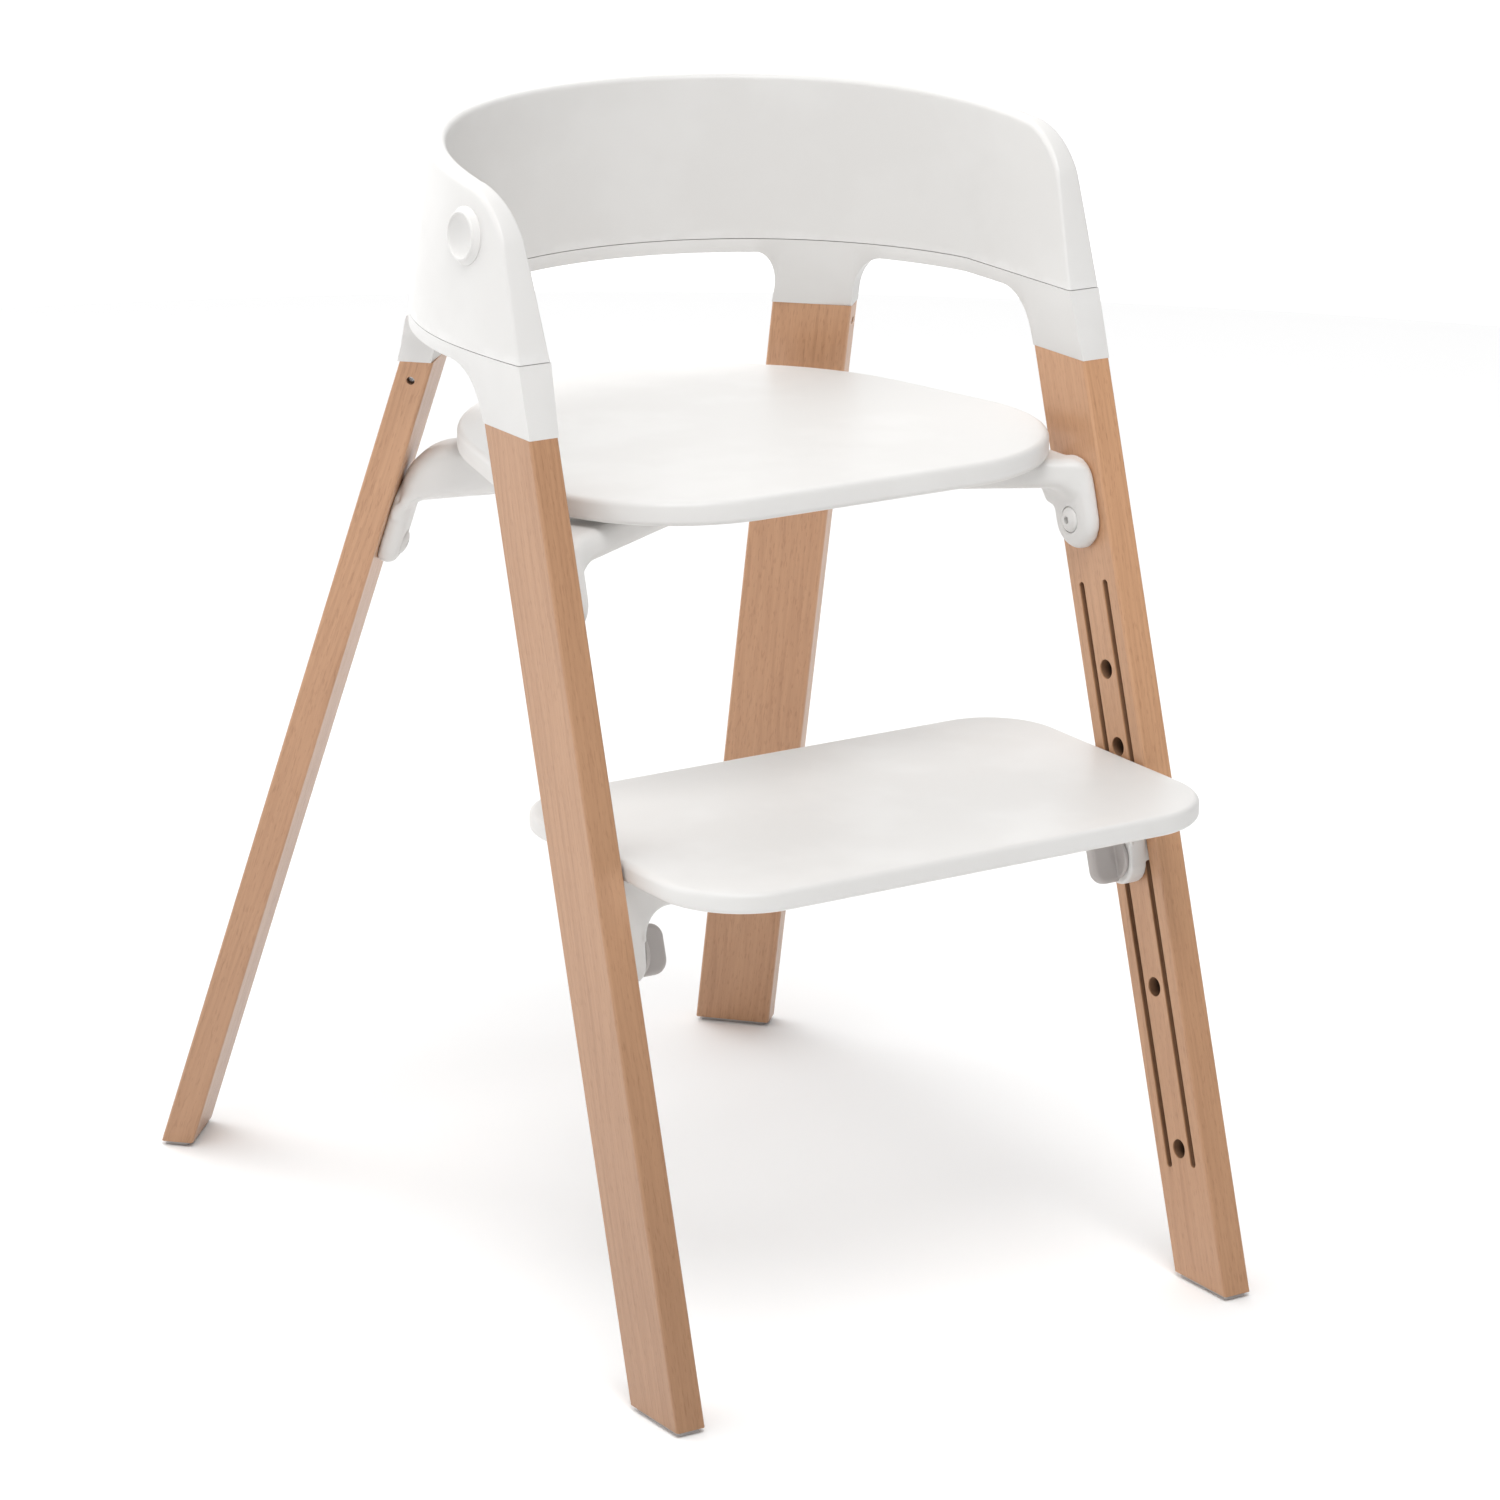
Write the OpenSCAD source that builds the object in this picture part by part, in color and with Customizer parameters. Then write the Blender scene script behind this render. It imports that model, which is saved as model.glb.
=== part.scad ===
// High chair: a white plastic hoop on four beech legs, with a seat and a sliding footrest.
// The chair faces -Y, +X is to the right as seen from the front, and the floor is z = 0.
// Plan positions are measured from the middle of the hoop. The last move in placed()
// brings the middle of the chair's footprint to the origin.

/* [Front legs] */
// Distance of a front leg's centre line from the chair's middle, at the floor
front_foot_x = 202; // [195:0.5:215]
// Distance of a front leg's centre line ahead of the hoop's middle, at the floor
front_foot_y = 222.6; // [210:0.1:235]
// How far the front legs lean back, in degrees
front_lean = 16.9; // [15.5:0.1:18]
// How far each front leg leans in towards its top, in degrees
front_splay = 0.25; // [0:0.05:0.5]
// Thickness of a front leg board
front_leg_t = 20; // [18:0.5:24]
// Width of a front leg board
front_leg_w = 51; // [46:0.5:56]
// How far below the hoop's seam the front legs' cut tops lie
front_socket_h = 42.3; // [38:0.1:46]

/* [Rear legs] */
// Distance of a rear leg's centre line from the chair's middle, at the floor
rear_foot_x = 218.3; // [212:0.1:225]
// Distance of a rear leg's centre line behind the hoop's middle, at the floor
rear_foot_y = 356.2; // [350:0.1:362]
// How far a rear leg board is turned in plan, in degrees
rear_turn = 44.7; // [42:0.1:48]
// How far a rear leg leans in across its faces, in degrees
rear_lean = 18.9; // [17.5:0.1:20]
// How far a rear leg leans forward along its width, in degrees
rear_rake = 8.9; // [8:0.1:10]
// Thickness of a rear leg board
rear_leg_t = 20.5; // [18:0.5:24]
// Width of a rear leg board
rear_leg_w = 52; // [47:0.5:57]
// How far below the hoop's seam the rear legs' cut tops lie
rear_socket_h = 43.8; // [39:0.1:48]

/* [Leg details] */
// Radius along the long edges of the leg boards
leg_edge_r = 2; // [1:0.5:4]
// Thickness of the glides under the legs
glide_t = 3.2; // [2:0.2:5]
// How far a glide stands in from the faces of its leg
glide_inset = 2.5; // [1:0.5:5]
// Diameter of a glide nail
nail_d = 3; // [2:0.5:4]
// Length of a glide nail above the glide
nail_len = 16; // [10:1:24]
// Radius of the locking holes in the front legs
lock_hole_r = 6.2; // [5.8:0.1:7]
// Depth of the locking holes
lock_hole_depth = 12; // [10:0.5:14]
// Distance along the leg from the floor to the lowest locking hole
lowest_hole = 89.5; // [85:0.5:95]
// Distance between the two lowest locking holes
hole_pitch = 103; // [100:0.5:106]
// How much shorter each pitch is than the one below it
pitch_step = 18; // [16:0.5:19]
// Distance of each guide groove from the leg's centre line
groove_offset = 12.6; // [11:0.1:14]
// Width of a guide groove
groove_w = 5.4; // [5:0.1:6.5]
// Depth of a guide groove
groove_depth = 4; // [3:0.1:5]
// How far the grooves run on below the lowest hole
groove_below = 9.3; // [8:0.1:12]
// How far the grooves run on above the highest hole
groove_above = 53.2; // [45:0.1:60]

/* [Hoop] */
// Outer radius of the hoop at its seam
hoop_r = 213.8; // [208:0.1:220]
// Height of the seam between the two halves of the hoop
seam_z = 609.3; // [604:0.1:616]
// Gap that shows as the seam line
seam_gap = 0.3; // [0.2:0.1:0.6]
// Wall of the hoop at the seam
wall_seam = 20.8; // [17:0.1:24]
// Half width between the flat inner sides of the hoop at the seam
inner_flat_x = 187; // [183:0.5:190]
// Half width of the hoop outside at its rim
rim_a = 206.8; // [200:0.1:212]
// Half depth of the rim's outline
rim_b = 217.5; // [212:0.1:222]
// How far the middle of the rim's outline lies ahead of the hoop's middle
rim_shift = 15; // [10:0.5:20]
// Wall of the hoop at the back of the rim
wall_rim = 11.6; // [9:0.1:15]
// Wall of the hoop at the front of the rim
wall_end = 13.5; // [10:0.1:16]
// Height of the rim at the back above the seam
rim_back_h = 107.2; // [100:0.1:114]
// How much lower the rim is at the sides than at the back
rim_drop = 9.8; // [5:0.1:14]
// Radius of the shoulders where the rim turns down to the front ends
shoulder_r = 51; // [40:1:60]
// Radius along the rim's edges
rim_edge_r = 3.5; // [2:0.5:4.5]
// How far below the seam the undersides of the arches lie
arch_h = 8.8; // [6:0.1:11]
// Width of the curve at each end of an arch
arch_curve_w = 20; // [14:1:24]
// Straight height of a socket's edge before the arch curve begins
arch_straight_h = 10; // [6:1:14]

/* [Hoop fastenings] */
// Thickness of the tongues that go down into the legs
tongue_t = 9; // [7:0.5:11]
// Width of the tongues
tongue_w = 28; // [22:1:34]
// Length of the tongues below the leg's cut top
tongue_len = 42; // [36:1:50]
// Distance of the cross screws below the leg's cut top
cross_drop = 9; // [8:0.5:14]
// Diameter of the cross screws
cross_d = 3.5; // [3:0.5:4]
// Diameter of the heads of the cross screws
cross_head_d = 5; // [4.5:0.5:7]
// Height of the heads of the cross screws
cross_head_h = 2; // [1.5:0.5:3]
// How far the heads of the cross screws lie below the leg's edge
cross_sink = 3; // [2:0.5:5]
// Diameter of the screws that hold the shell to the frame
shell_screw_d = 3.5; // [3:0.5:4.5]
// Diameter of the heads of the shell screws
shell_head_d = 7; // [6:0.5:9]
// Length of a shell screw above its head
shell_screw_len = 20; // [16:1:26]
// Height of the studs' axis above the seam
stud_up = 66.7; // [60:0.1:72]
// Distance of the studs' axis ahead of the hoop's middle
stud_y = 3; // [0:0.5:10]
// Radius of a stud where it meets the wall
stud_base_r = 17.5; // [14:0.1:19]
// Radius of a stud's rim
stud_r = 15; // [12:0.1:17]
// How far a stud stands out of the wall
stud_out = 4.5; // [3:0.5:6]
// Radius of the round dish in a stud
stud_dish_r = 13.4; // [10:0.1:15]
// Depth of the round dish in a stud
stud_dish_depth = 4.5; // [2:0.5:5]
// Radius of a stud's stem inside the wall
stud_stem_r = 5; // [4:0.5:6]
// Length of a stud's stem inside the wall
stud_stem_len = 7; // [5:0.5:9]

/* [Seat] */
// Height of the seat's top
seat_top = 527; // [522:0.5:532]
// Thickness of the seat
seat_t = 15; // [12:0.5:18]
// Radius of the seat's round back
seat_r = 166; // [160:1:172]
// Distance of the round back's centre behind the hoop's middle
seat_back_y = 37; // [30:0.5:44]
// Distance of the seat's straight front edge ahead of the hoop's middle
seat_front_y = 125; // [118:1:132]
// Half width of the seat at its widest, ahead of the round back
seat_front_half = 182; // [174:1:184]
// Radius of the seat's front corners
seat_corner_r = 106; // [90:1:112]
// Radius along the edges of the seat and the footrest
plate_edge_r = 4; // [2:0.5:5]

/* [Seat bracket] */
// Width of the pads on the front legs
front_pad_w = 38; // [32:1:42]
// Width of the pads on the rear legs
rear_pad_w = 32; // [28:1:38]
// Thickness of the front pads
front_pad_t = 10.5; // [8:0.1:12]
// Thickness of the rear pads
rear_pad_t = 12; // [9:0.5:14]
// Distance along the leg from the floor to a front pad's bolt
front_bolt_s = 489.2; // [480:0.1:498]
// Distance along the leg from the floor to a rear pad's bolt
rear_bolt_s = 475; // [465:0.5:482]
// Distance along the leg from the bolt to the upper round of a front pad
front_pad_rise = 21; // [16:1:26]
// Distance along the leg from the bolt to the upper round of a rear pad
rear_pad_rise = 26; // [20:1:32]
// Depth of the hub and of the rear arms' inner ends below the seat
hub_depth = 28; // [22:1:34]
// Depth of the front arms below the seat
front_arm_depth = 23.5; // [18:0.5:28]
// Width of the front arms
front_arm_w = 38; // [28:1:42]
// Width of the rear arms
rear_arm_w = 32; // [26:1:38]
// How far the arms' outer ends lie below the seat
arm_sink = 4.5; // [2:0.5:6]
// Where an arm's top starts to sink, as a part of the way from hub to leg
arm_sink_start = 0.62; // [0.58:0.01:0.7]
// Where an arm's top has sunk, as a part of the way from hub to leg
arm_sink_end = 0.72; // [0.71:0.01:0.8]
// Radius of the hub where the four arms meet
hub_r = 42; // [30:1:50]
// Distance of the hub behind the hoop's middle
hub_y = 30; // [20:1:40]
// How far the rear arms' undersides run level, as a part of the way from hub to leg
rear_arm_level = 0.45; // [0.3:0.01:0.6]
// How far the rear arms' undersides drop on the way to their pads
rear_arm_drop = 14; // [8:0.5:20]
// Radius of the hollow curve from an arm down into its pad
arm_curve_r = 16; // [10:1:22]
// Radius over the outer top of a front arm's end
front_arm_top_r = 12; // [8:0.5:16]
// Radius over the outer top of a rear arm's end
rear_arm_top_r = 37; // [24:1:42]
// Depth below the seat at which a front arm is aimed at its leg
front_arm_down = 18; // [12:1:24]
// Depth below the seat at which a rear arm is aimed at its leg
rear_arm_down = 32; // [24:1:40]
// Radius of the bolts through the pads
bolt_r = 3.9; // [3:0.1:5]
// Radius of the bolts' domed heads
bolt_head_r = 8; // [7:0.5:10]
// Height of the bolts' domed heads
bolt_head_h = 4; // [3:0.5:6]
// How far the bolts' heads sit down in the pads
bolt_sink = 1.2; // [0.5:0.1:2]
// Width across the flats of the hexagon sockets
hex_w = 4.6; // [4:0.2:6]
// Depth of the hexagon sockets
hex_depth = 2.6; // [2:0.2:3.4]
// Radius of the threaded sleeves in the legs
insert_r = 5.5; // [5:0.1:6.5]
// Length of the threaded sleeves
insert_len = 12; // [10:0.5:15]

/* [Footrest] */
// Thickness of the footrest
footrest_t = 13; // [11:0.5:16]
// How far the footrest reaches ahead of the locking pins
footrest_front = 103; // [90:1:112]
// How far the footrest reaches behind the locking pins
footrest_rear = 134; // [120:1:146]
// Radius of the footrest's front corners
footrest_front_r = 55; // [40:1:65]
// Radius of the footrest's rear corners
footrest_rear_r = 48; // [35:1:60]
// Height of the footrest's top above the locking pins
footrest_above_pin = 60.5; // [56:0.5:66]
// Gap between the footrest's ends and the legs at its highest place
footrest_side_gap = 0.6; // [0.4:0.1:1.5]
// Which locking hole the footrest stands at, counted up from the lowest as 0
footrest_place = 2; // [2:1:3]

/* [Footrest ears and locks] */
// Gap between an ear and its leg
ear_gap = 0.7; // [0.6:0.1:1]
// Thickness of an ear
ear_t = 13; // [11:0.5:16]
// Width of an ear
ear_w = 36; // [32:1:40]
// How far an ear reaches below the pin
ear_drop = 26.5; // [24:0.5:30]
// Thickness of the ear's flange under the footrest
flange_t = 4; // [3:0.5:6]
// How far the flange reaches in from the ear
flange_reach = 24; // [20:1:30]
// Radius of the hollow curve between the ear and its flange
flange_curve_r = 16; // [10:1:18]
// How far an ear's ribs reach into the leg's grooves
rib_reach = 2.8; // [2.2:0.1:3.4]
// Clearance on each side of a rib in its groove
rib_clear = 0.4; // [0.2:0.1:0.8]
// How far the ribs reach below the pin
rib_below = 5; // [3:0.5:6]
// How far the ribs reach above the pin
rib_above = 38; // [30:1:42]
// Radius of a locking pin
pin_r = 5; // [4:0.1:5.6]
// Running clearance around the pins and the knobs' necks
run_clear = 0.06; // [0.03:0.01:0.09]
// Radius of a locking pin's tail
pin_tail_r = 2.5; // [2:0.1:3]
// Length of a locking pin's tail
pin_tail_len = 11; // [10:0.5:13]
// Radius of the neck that a knob turns on
knob_neck_r = 8; // [7:0.5:9]
// Length of the neck
knob_neck_len = 4; // [3:0.5:5]
// Radius of a knob's round flange
knob_flange_r = 15.5; // [13:0.5:17]
// Thickness of a knob's round flange
knob_flange_t = 3; // [2:0.5:4]
// How far a knob's fin stands out from its flange
knob_fin_out = 17; // [14:0.5:20]
// Height of a knob's fin
knob_fin_h = 31; // [26:0.5:34]
// Thickness of a knob's fin
knob_fin_t = 8.5; // [7:0.5:11]
// Radius of the fin's outer corners
knob_fin_r = 9; // [6:0.5:12]

/* [Screws under the plates] */
// Diameter of the screws into the seat and the footrest
plate_screw_d = 4; // [3:0.5:5]
// Diameter of their heads
plate_head_d = 8; // [7:0.5:10]
// Height of their heads
plate_head_h = 2.5; // [2:0.5:3]
// How far the screws reach into the seat
seat_screw_in = 9; // [7:0.5:10]
// How far the screws reach into the footrest
footrest_screw_in = 8; // [6:0.5:9]
// Place of the seat screws along the arms, as a part of the way from hub to leg
seat_screw_place = 0.5; // [0.4:0.05:0.6]
// Spacing of the footrest screws along an ear
footrest_screw_gap = 20; // [16:1:24]

/* [Hidden] */

$fn = 48;
left = -1;
right = 1;
plastic_white = [0.92, 0.92, 0.91];
knob_grey = [0.58, 0.57, 0.56];
beech = [0.80, 0.63, 0.50];
steel = [0.70, 0.70, 0.72];
brass = [0.78, 0.62, 0.32];
fit_clear = 0.1;
screw_clear = 0.15;
big = 2000;
overlap = 0.5;

// Heights that follow the hoop's seam
front_leg_top = seam_z - front_socket_h;
rear_leg_top = seam_z - rear_socket_h;
arch_z = seam_z - arch_h;
rim_back_z = seam_z + rim_back_h;
stud_z = seam_z + stud_up;

// Leg directions. A leg's own frame has its centre line as Z, with the floor at 0.
rear_tilt = atan(tan(rear_lean) * cos(rear_rake));
front_stretch = 1 / (cos(front_lean) * cos(front_splay));
rear_stretch = 1 / (cos(rear_tilt) * cos(rear_rake));
wide_dir = [cos(rear_turn), -sin(rear_turn)];
out_dir = [sin(rear_turn), cos(rear_turn)];
rear_run = tan(rear_rake) * wide_dir - tan(rear_lean) * out_dir;

function front_centre(z) = [front_foot_x - tan(front_splay) * z, tan(front_lean) * z - front_foot_y];
function rear_centre(z) = [rear_foot_x, rear_foot_y] + z * rear_run;

// Half sizes of the legs' level cross-sections
front_half_w = front_leg_w / 2 / cos(front_lean);
front_half_t = front_leg_t / 2 / cos(front_splay);
rear_half_w = rear_leg_w / 2 / cos(rear_rake);
rear_half_t = rear_leg_t / 2 / cos(rear_lean);

// Middle of the footprint, which becomes the origin
foot_front_y = front_centre(glide_t)[1] - front_half_w;
foot_rear_y = rear_centre(glide_t)[1] - rear_half_w * wide_dir[1] + rear_half_t * out_dir[1]
    - leg_edge_r * (sin(rear_turn) + cos(rear_turn) - 1);
footprint_y = (foot_front_y + foot_rear_y) / 2;

// Places along a front leg
function hole_s(i) = lowest_hole + i * hole_pitch - pitch_step * i * (i - 1) / 2;
last_hole = 4;
groove_low = lowest_hole - groove_below;
groove_high = hole_s(last_hole) + groove_above;
pin_s = hole_s(footrest_place);
pin_z = pin_s / front_stretch;
pin_y = front_centre(pin_z)[1];
footrest_top = pin_z + footrest_above_pin;
footrest_under = footrest_top - footrest_t;
footrest_highest = hole_s(last_hole) / front_stretch + footrest_above_pin;
footrest_half = front_centre(footrest_highest)[0] - front_half_t - footrest_side_gap;

// Stations across a front leg, measured in from its centre line
leg_face = front_leg_t / 2;
ear_face = leg_face + ear_gap;
ear_inner = ear_face + ear_t;
neck_end = ear_inner - knob_neck_len;
knob_gap = 0.3;
knob_face = ear_inner + knob_gap;
pin_body_end = knob_face - 0.2;
fin_start = knob_face + knob_flange_t;
fin_end = fin_start + knob_fin_out;
tail_end = pin_body_end + pin_tail_len;

seat_under = seat_top - seat_t;
arm_top = seat_under;
arm_end_top = arm_top - arm_sink;
hub_under = arm_top - hub_depth;

// Where each arm meets the inner face of its leg, at the middle of the arm's end
front_arm_z = seat_under - front_arm_down;
rear_arm_z = seat_under - rear_arm_down;
front_meet = front_centre(front_arm_z) - [front_half_t, 0];
rear_meet = rear_centre(rear_arm_z) - rear_half_t * out_dir;

// Plan of the hoop. The angle runs from the front end round to the middle of the back.
end_x = front_centre(seam_z)[0] + front_half_t;
end_y = front_centre(seam_z)[1] - front_half_w;
end_angle = asin(end_y / hoop_r);
rim_back_y = rim_b - rim_shift;

function mix(a, b, t) = a + (b - a) * t;
function rim_z(y) = rim_back_z - rim_drop * pow(1 - y / rim_back_y, 2);
side_rim_z = rim_z(0);
rim_end_y = end_y + tan(front_lean) * (side_rim_z - seam_z);
shoulder_z = side_rim_z - shoulder_r;
shoulder_y = end_y + tan(front_lean) * (shoulder_z - seam_z) + shoulder_r / cos(front_lean);

function wall_dir(a) = a < 0 ? [1, 0] : [cos(a), sin(a)];
function seam_out(a) = a < 0
    ? [hoop_r - (hoop_r - end_x) * pow(sin(a) / sin(end_angle), 2), hoop_r * sin(a)]
    : [hoop_r * cos(a), hoop_r * sin(a)];
function seam_wall(a) = max(wall_seam, (seam_out(a)[0] - inner_flat_x) / wall_dir(a)[0]);
function seam_in(a) = a > 80
    ? seam_out(a) - wall_seam * wall_dir(a)
    : seam_out(a) - seam_wall(a) * wall_dir(a);
function rim_out(a) = a < 0
    ? [rim_a, mix(-rim_shift, rim_end_y, sin(a) / sin(end_angle))]
    : [rim_a * cos(a), rim_b * sin(a) - rim_shift];
wall_blend_angle = 40;
function rim_in(a) = rim_out(a)
    - mix(wall_end, wall_rim, min(1, (a - end_angle) / wall_blend_angle)) * wall_dir(a);

// How far up its line, from 0 at the seam to 1 at the rim, a column of the wall reaches
function dot2(a, b) = a[0] * b[0] + a[1] * b[1];
function column_reach(a) = let(
        low = [seam_out(a)[1], seam_z],
        high = [rim_out(a)[1], rim_z(rim_out(a)[1])],
        run = high - low,
        off = low - [shoulder_y, shoulder_z],
        p = dot2(run, run),
        q = dot2(off, run),
        r = dot2(off, off) - shoulder_r * shoulder_r)
    high[0] < shoulder_y ? min(1, (-q + sqrt(max(0, q * q - p * r))) / p) : 1;

round_steps = 4;
function round_in(k) = rim_edge_r * (1 - cos(90 * k / round_steps));
function round_down(k) = rim_edge_r * (1 - sin(90 * k / round_steps));

// One upright section of the shell: up the outside, over the rounded rim, down the inside
function shell_column(a, inset) = let(
        top_z = rim_z(rim_out(a)[1]),
        height = top_z - seam_z,
        reach = column_reach(a),
        d = wall_dir(a),
        outer = [for (k = [0 : round_steps]) let(
                t = reach - round_down(k) / height,
                p = mix(seam_out(a), rim_out(a), t) - max(inset, round_in(k)) * d)
            [p[0], p[1], seam_z + t * height]],
        inner = [for (k = [round_steps : -1 : 0]) let(
                t = reach - round_down(k) / height,
                p = mix(seam_in(a), rim_in(a), t) + max(inset, round_in(k)) * d)
            [p[0], p[1], seam_z + t * height]],
        foot_out = seam_out(a) - inset * d,
        foot_in = seam_in(a) + inset * d)
    concat([[foot_out[0], foot_out[1], seam_z + seam_gap / 2]], outer, inner,
        [[foot_in[0], foot_in[1], seam_z + seam_gap / 2]]);

// Columns close up at the front ends, where the rim turns down steeply
front_columns = 18;
back_columns = 26;
front_zone_end = 8;
first_step = 1.2;
function shell_angle(i) = i < front_columns
    ? end_angle + first_step + (front_zone_end - end_angle - first_step) * pow(i / front_columns, 1.8)
    : mix(front_zone_end, 90, (i - front_columns) / back_columns);
function end_angle_at(k) = end_angle + first_step * (1 - cos(90 * k / round_steps));
function shell_half() = concat(
    [for (k = [0 : round_steps - 1]) shell_column(end_angle_at(k), rim_edge_r * (1 - sin(90 * k / round_steps)))],
    [for (i = [0 : front_columns + back_columns]) shell_column(shell_angle(i), 0)]);

function flipped(column) = [for (p = column) [-p[0], p[1], p[2]]];
function both_halves(half) = let(n = len(half))
    concat(half, [for (i = [n - 2 : -1 : 0]) flipped(half[i])]);

// Angles of the frame's sockets and arches
front_socket_end = asin((front_centre(seam_z)[1] + front_half_w) / hoop_r);
rear_socket_mid = atan2(rear_centre(seam_z)[1], rear_centre(seam_z)[0]);
rear_socket_half = asin(rear_half_w / hoop_r);
curve_angle = arch_curve_w / hoop_r * 180 / PI;
rear_socket_low = rear_socket_mid - rear_socket_half;
rear_socket_high = rear_socket_mid + rear_socket_half;
tiny_angle = 0.05;

function front_socket_point(u, side) = front_centre(front_leg_top) + [side * front_half_t, u * front_half_w];
function rear_socket_point(u, side) = rear_centre(rear_leg_top)
    + u * rear_half_w * wide_dir + side * rear_half_t * out_dir;
function frame_column(a, out_point, in_point, blend, low) = let(
        bo = mix(out_point, seam_out(a), blend),
        bi = mix(in_point, seam_in(a), blend),
        top = seam_z - seam_gap / 2)
    [[bo[0], bo[1], low], [seam_out(a)[0], seam_out(a)[1], top],
        [seam_in(a)[0], seam_in(a)[1], top], [bi[0], bi[1], low]];
function front_column(a, u, blend, low) =
    frame_column(a, front_socket_point(u, 1), front_socket_point(u, -1), blend, low);
function rear_column(a, u, blend, low) =
    frame_column(a, rear_socket_point(u, 1), rear_socket_point(u, -1), blend, low);
function curve_run(t) = 1 - cos(90 * t);
function curve_low(t, top) = mix(top + arch_straight_h, arch_z, sin(90 * t));
function curve_blend(t, top) = mix(arch_straight_h / (seam_z - top), 1, t);
steps = 8;
function frame_half() = concat(
    [for (i = [0 : steps]) front_column(mix(end_angle, front_socket_end, i / steps),
        mix(-1, 1, i / steps), 0, front_leg_top)],
    [for (i = [0 : steps]) let(t = i / steps) front_column(
        front_socket_end + tiny_angle + curve_angle * curve_run(t),
        1 + arch_curve_w / front_half_w * curve_run(t),
        curve_blend(t, front_leg_top), curve_low(t, front_leg_top))],
    [for (i = [1 : steps - 1]) front_column(
        mix(front_socket_end + curve_angle, rear_socket_low - curve_angle, i / steps), 1, 1, arch_z)],
    [for (i = [steps : -1 : 0]) let(t = i / steps) rear_column(
        rear_socket_low - tiny_angle - curve_angle * curve_run(t),
        1 + arch_curve_w / rear_half_w * curve_run(t),
        curve_blend(t, rear_leg_top), curve_low(t, rear_leg_top))],
    [for (i = [0 : steps]) rear_column(mix(rear_socket_low, rear_socket_high, i / steps),
        mix(1, -1, i / steps), 0, rear_leg_top)],
    [for (i = [0 : steps]) let(t = i / steps) rear_column(
        rear_socket_high + tiny_angle + curve_angle * curve_run(t),
        -1 - arch_curve_w / rear_half_w * curve_run(t),
        curve_blend(t, rear_leg_top), curve_low(t, rear_leg_top))],
    [for (i = [1 : steps]) rear_column(
        mix(rear_socket_high + curve_angle, 90, i / steps), -1, 1, arch_z)]);

// A closed skin over a row of like sections, each a list of as many points
module skin(sections) {
    n = len(sections);
    m = len(sections[0]);
    points = [for (s = sections) for (p = s) p];
    sides = [for (i = [0 : n - 2]) for (j = [0 : m - 1]) let(
            a = i * m + j,
            b = i * m + (j + 1) % m,
            c = a + m,
            d = b + m) each [[a, b, c], [b, d, c]]];
    first = [for (j = [1 : m - 2]) [0, j + 1, j]];
    last = [for (j = [1 : m - 2]) [(n - 1) * m, (n - 1) * m + j, (n - 1) * m + j + 1]];
    polyhedron(points, concat(sides, first, last), convexity = 8);
}

module placed() {
    translate([0, -footprint_y, 0])
        children();
}

module on_side(side) {
    mirror([side < 0 ? 1 : 0, 0, 0])
        children();
}

// A front leg's own frame: X across its thickness, outwards, Y across its width, to the rear
module front_leg_frame() {
    translate([front_foot_x, -front_foot_y, 0])
        rotate([-front_lean, -front_splay, 0])
            children();
}

// A rear leg's own frame: X along its width, towards the front, Y through its thickness, outwards
module rear_leg_frame() {
    translate([rear_foot_x, rear_foot_y, 0])
        rotate([rear_tilt, atan(tan(rear_rake)), -rear_turn])
            children();
}

module board(size_x, size_y, r) {
    translate([0, 0, -big / 20])
        linear_extrude(big / 2)
            union() {
                square([size_x - 2 * r, size_y], center = true);
                square([size_x, size_y - 2 * r], center = true);
                for (sx = [-1, 1], sy = [-1, 1])
                    translate([sx * (size_x / 2 - r), sy * (size_y / 2 - r)])
                        circle(r, $fn = 24);
            }
}

module level_slab(low, high) {
    translate([-big / 2, -big / 2, low])
        cube([big, big, high - low]);
}

// A rod along X from one station to another
module rod_x(from, to, r) {
    translate([from, 0, 0])
        rotate([0, 90, 0])
            cylinder(h = to - from, r = r);
}

// A plate in the XY plane with two round ends along Y
module slot_shape(r, low, high) {
    translate([-r, low])
        square([2 * r, high - low]);
    translate([0, low])
        circle(r);
    translate([0, high])
        circle(r);
}

front_top_s = front_leg_top * front_stretch;
rear_top_s = rear_leg_top * rear_stretch;
nail_head_r = 3.5;
nail_head_h = 1.5;
nail_head_t = 1.4;

module nail_hole(centre) {
    translate([centre[0], centre[1], 0])
        cylinder(h = glide_t + nail_len + 0.3, r = nail_d / 2 + fit_clear, $fn = 24);
}

module cross_screw_hole(half_width, s) {
    translate([0, half_width, s])
        rotate([90, 0, 0]) {
            translate([0, 0, -big / 100])
                cylinder(h = cross_sink + cross_head_h + big / 100, r = cross_head_d / 2 + screw_clear, $fn = 32);
            cylinder(h = cross_len(half_width), r = cross_d / 2 + screw_clear, $fn = 24);
        }
}

function cross_len(half_width) = half_width + tongue_w / 4;

module cross_screw(half_width, s) {
    translate([0, half_width, s])
        rotate([90, 0, 0]) {
            translate([0, 0, cross_sink])
                cylinder(h = cross_head_h, r = cross_head_d / 2, $fn = 32);
            translate([0, 0, cross_sink + cross_head_h - overlap])
                cylinder(h = cross_len(half_width) - cross_sink - cross_head_h, r = cross_d / 2, $fn = 24);
        }
}

module insert_pocket() {
    rod_x(-leg_face - 1, insert_len - leg_face + 0.3, insert_r + fit_clear);
}

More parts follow.
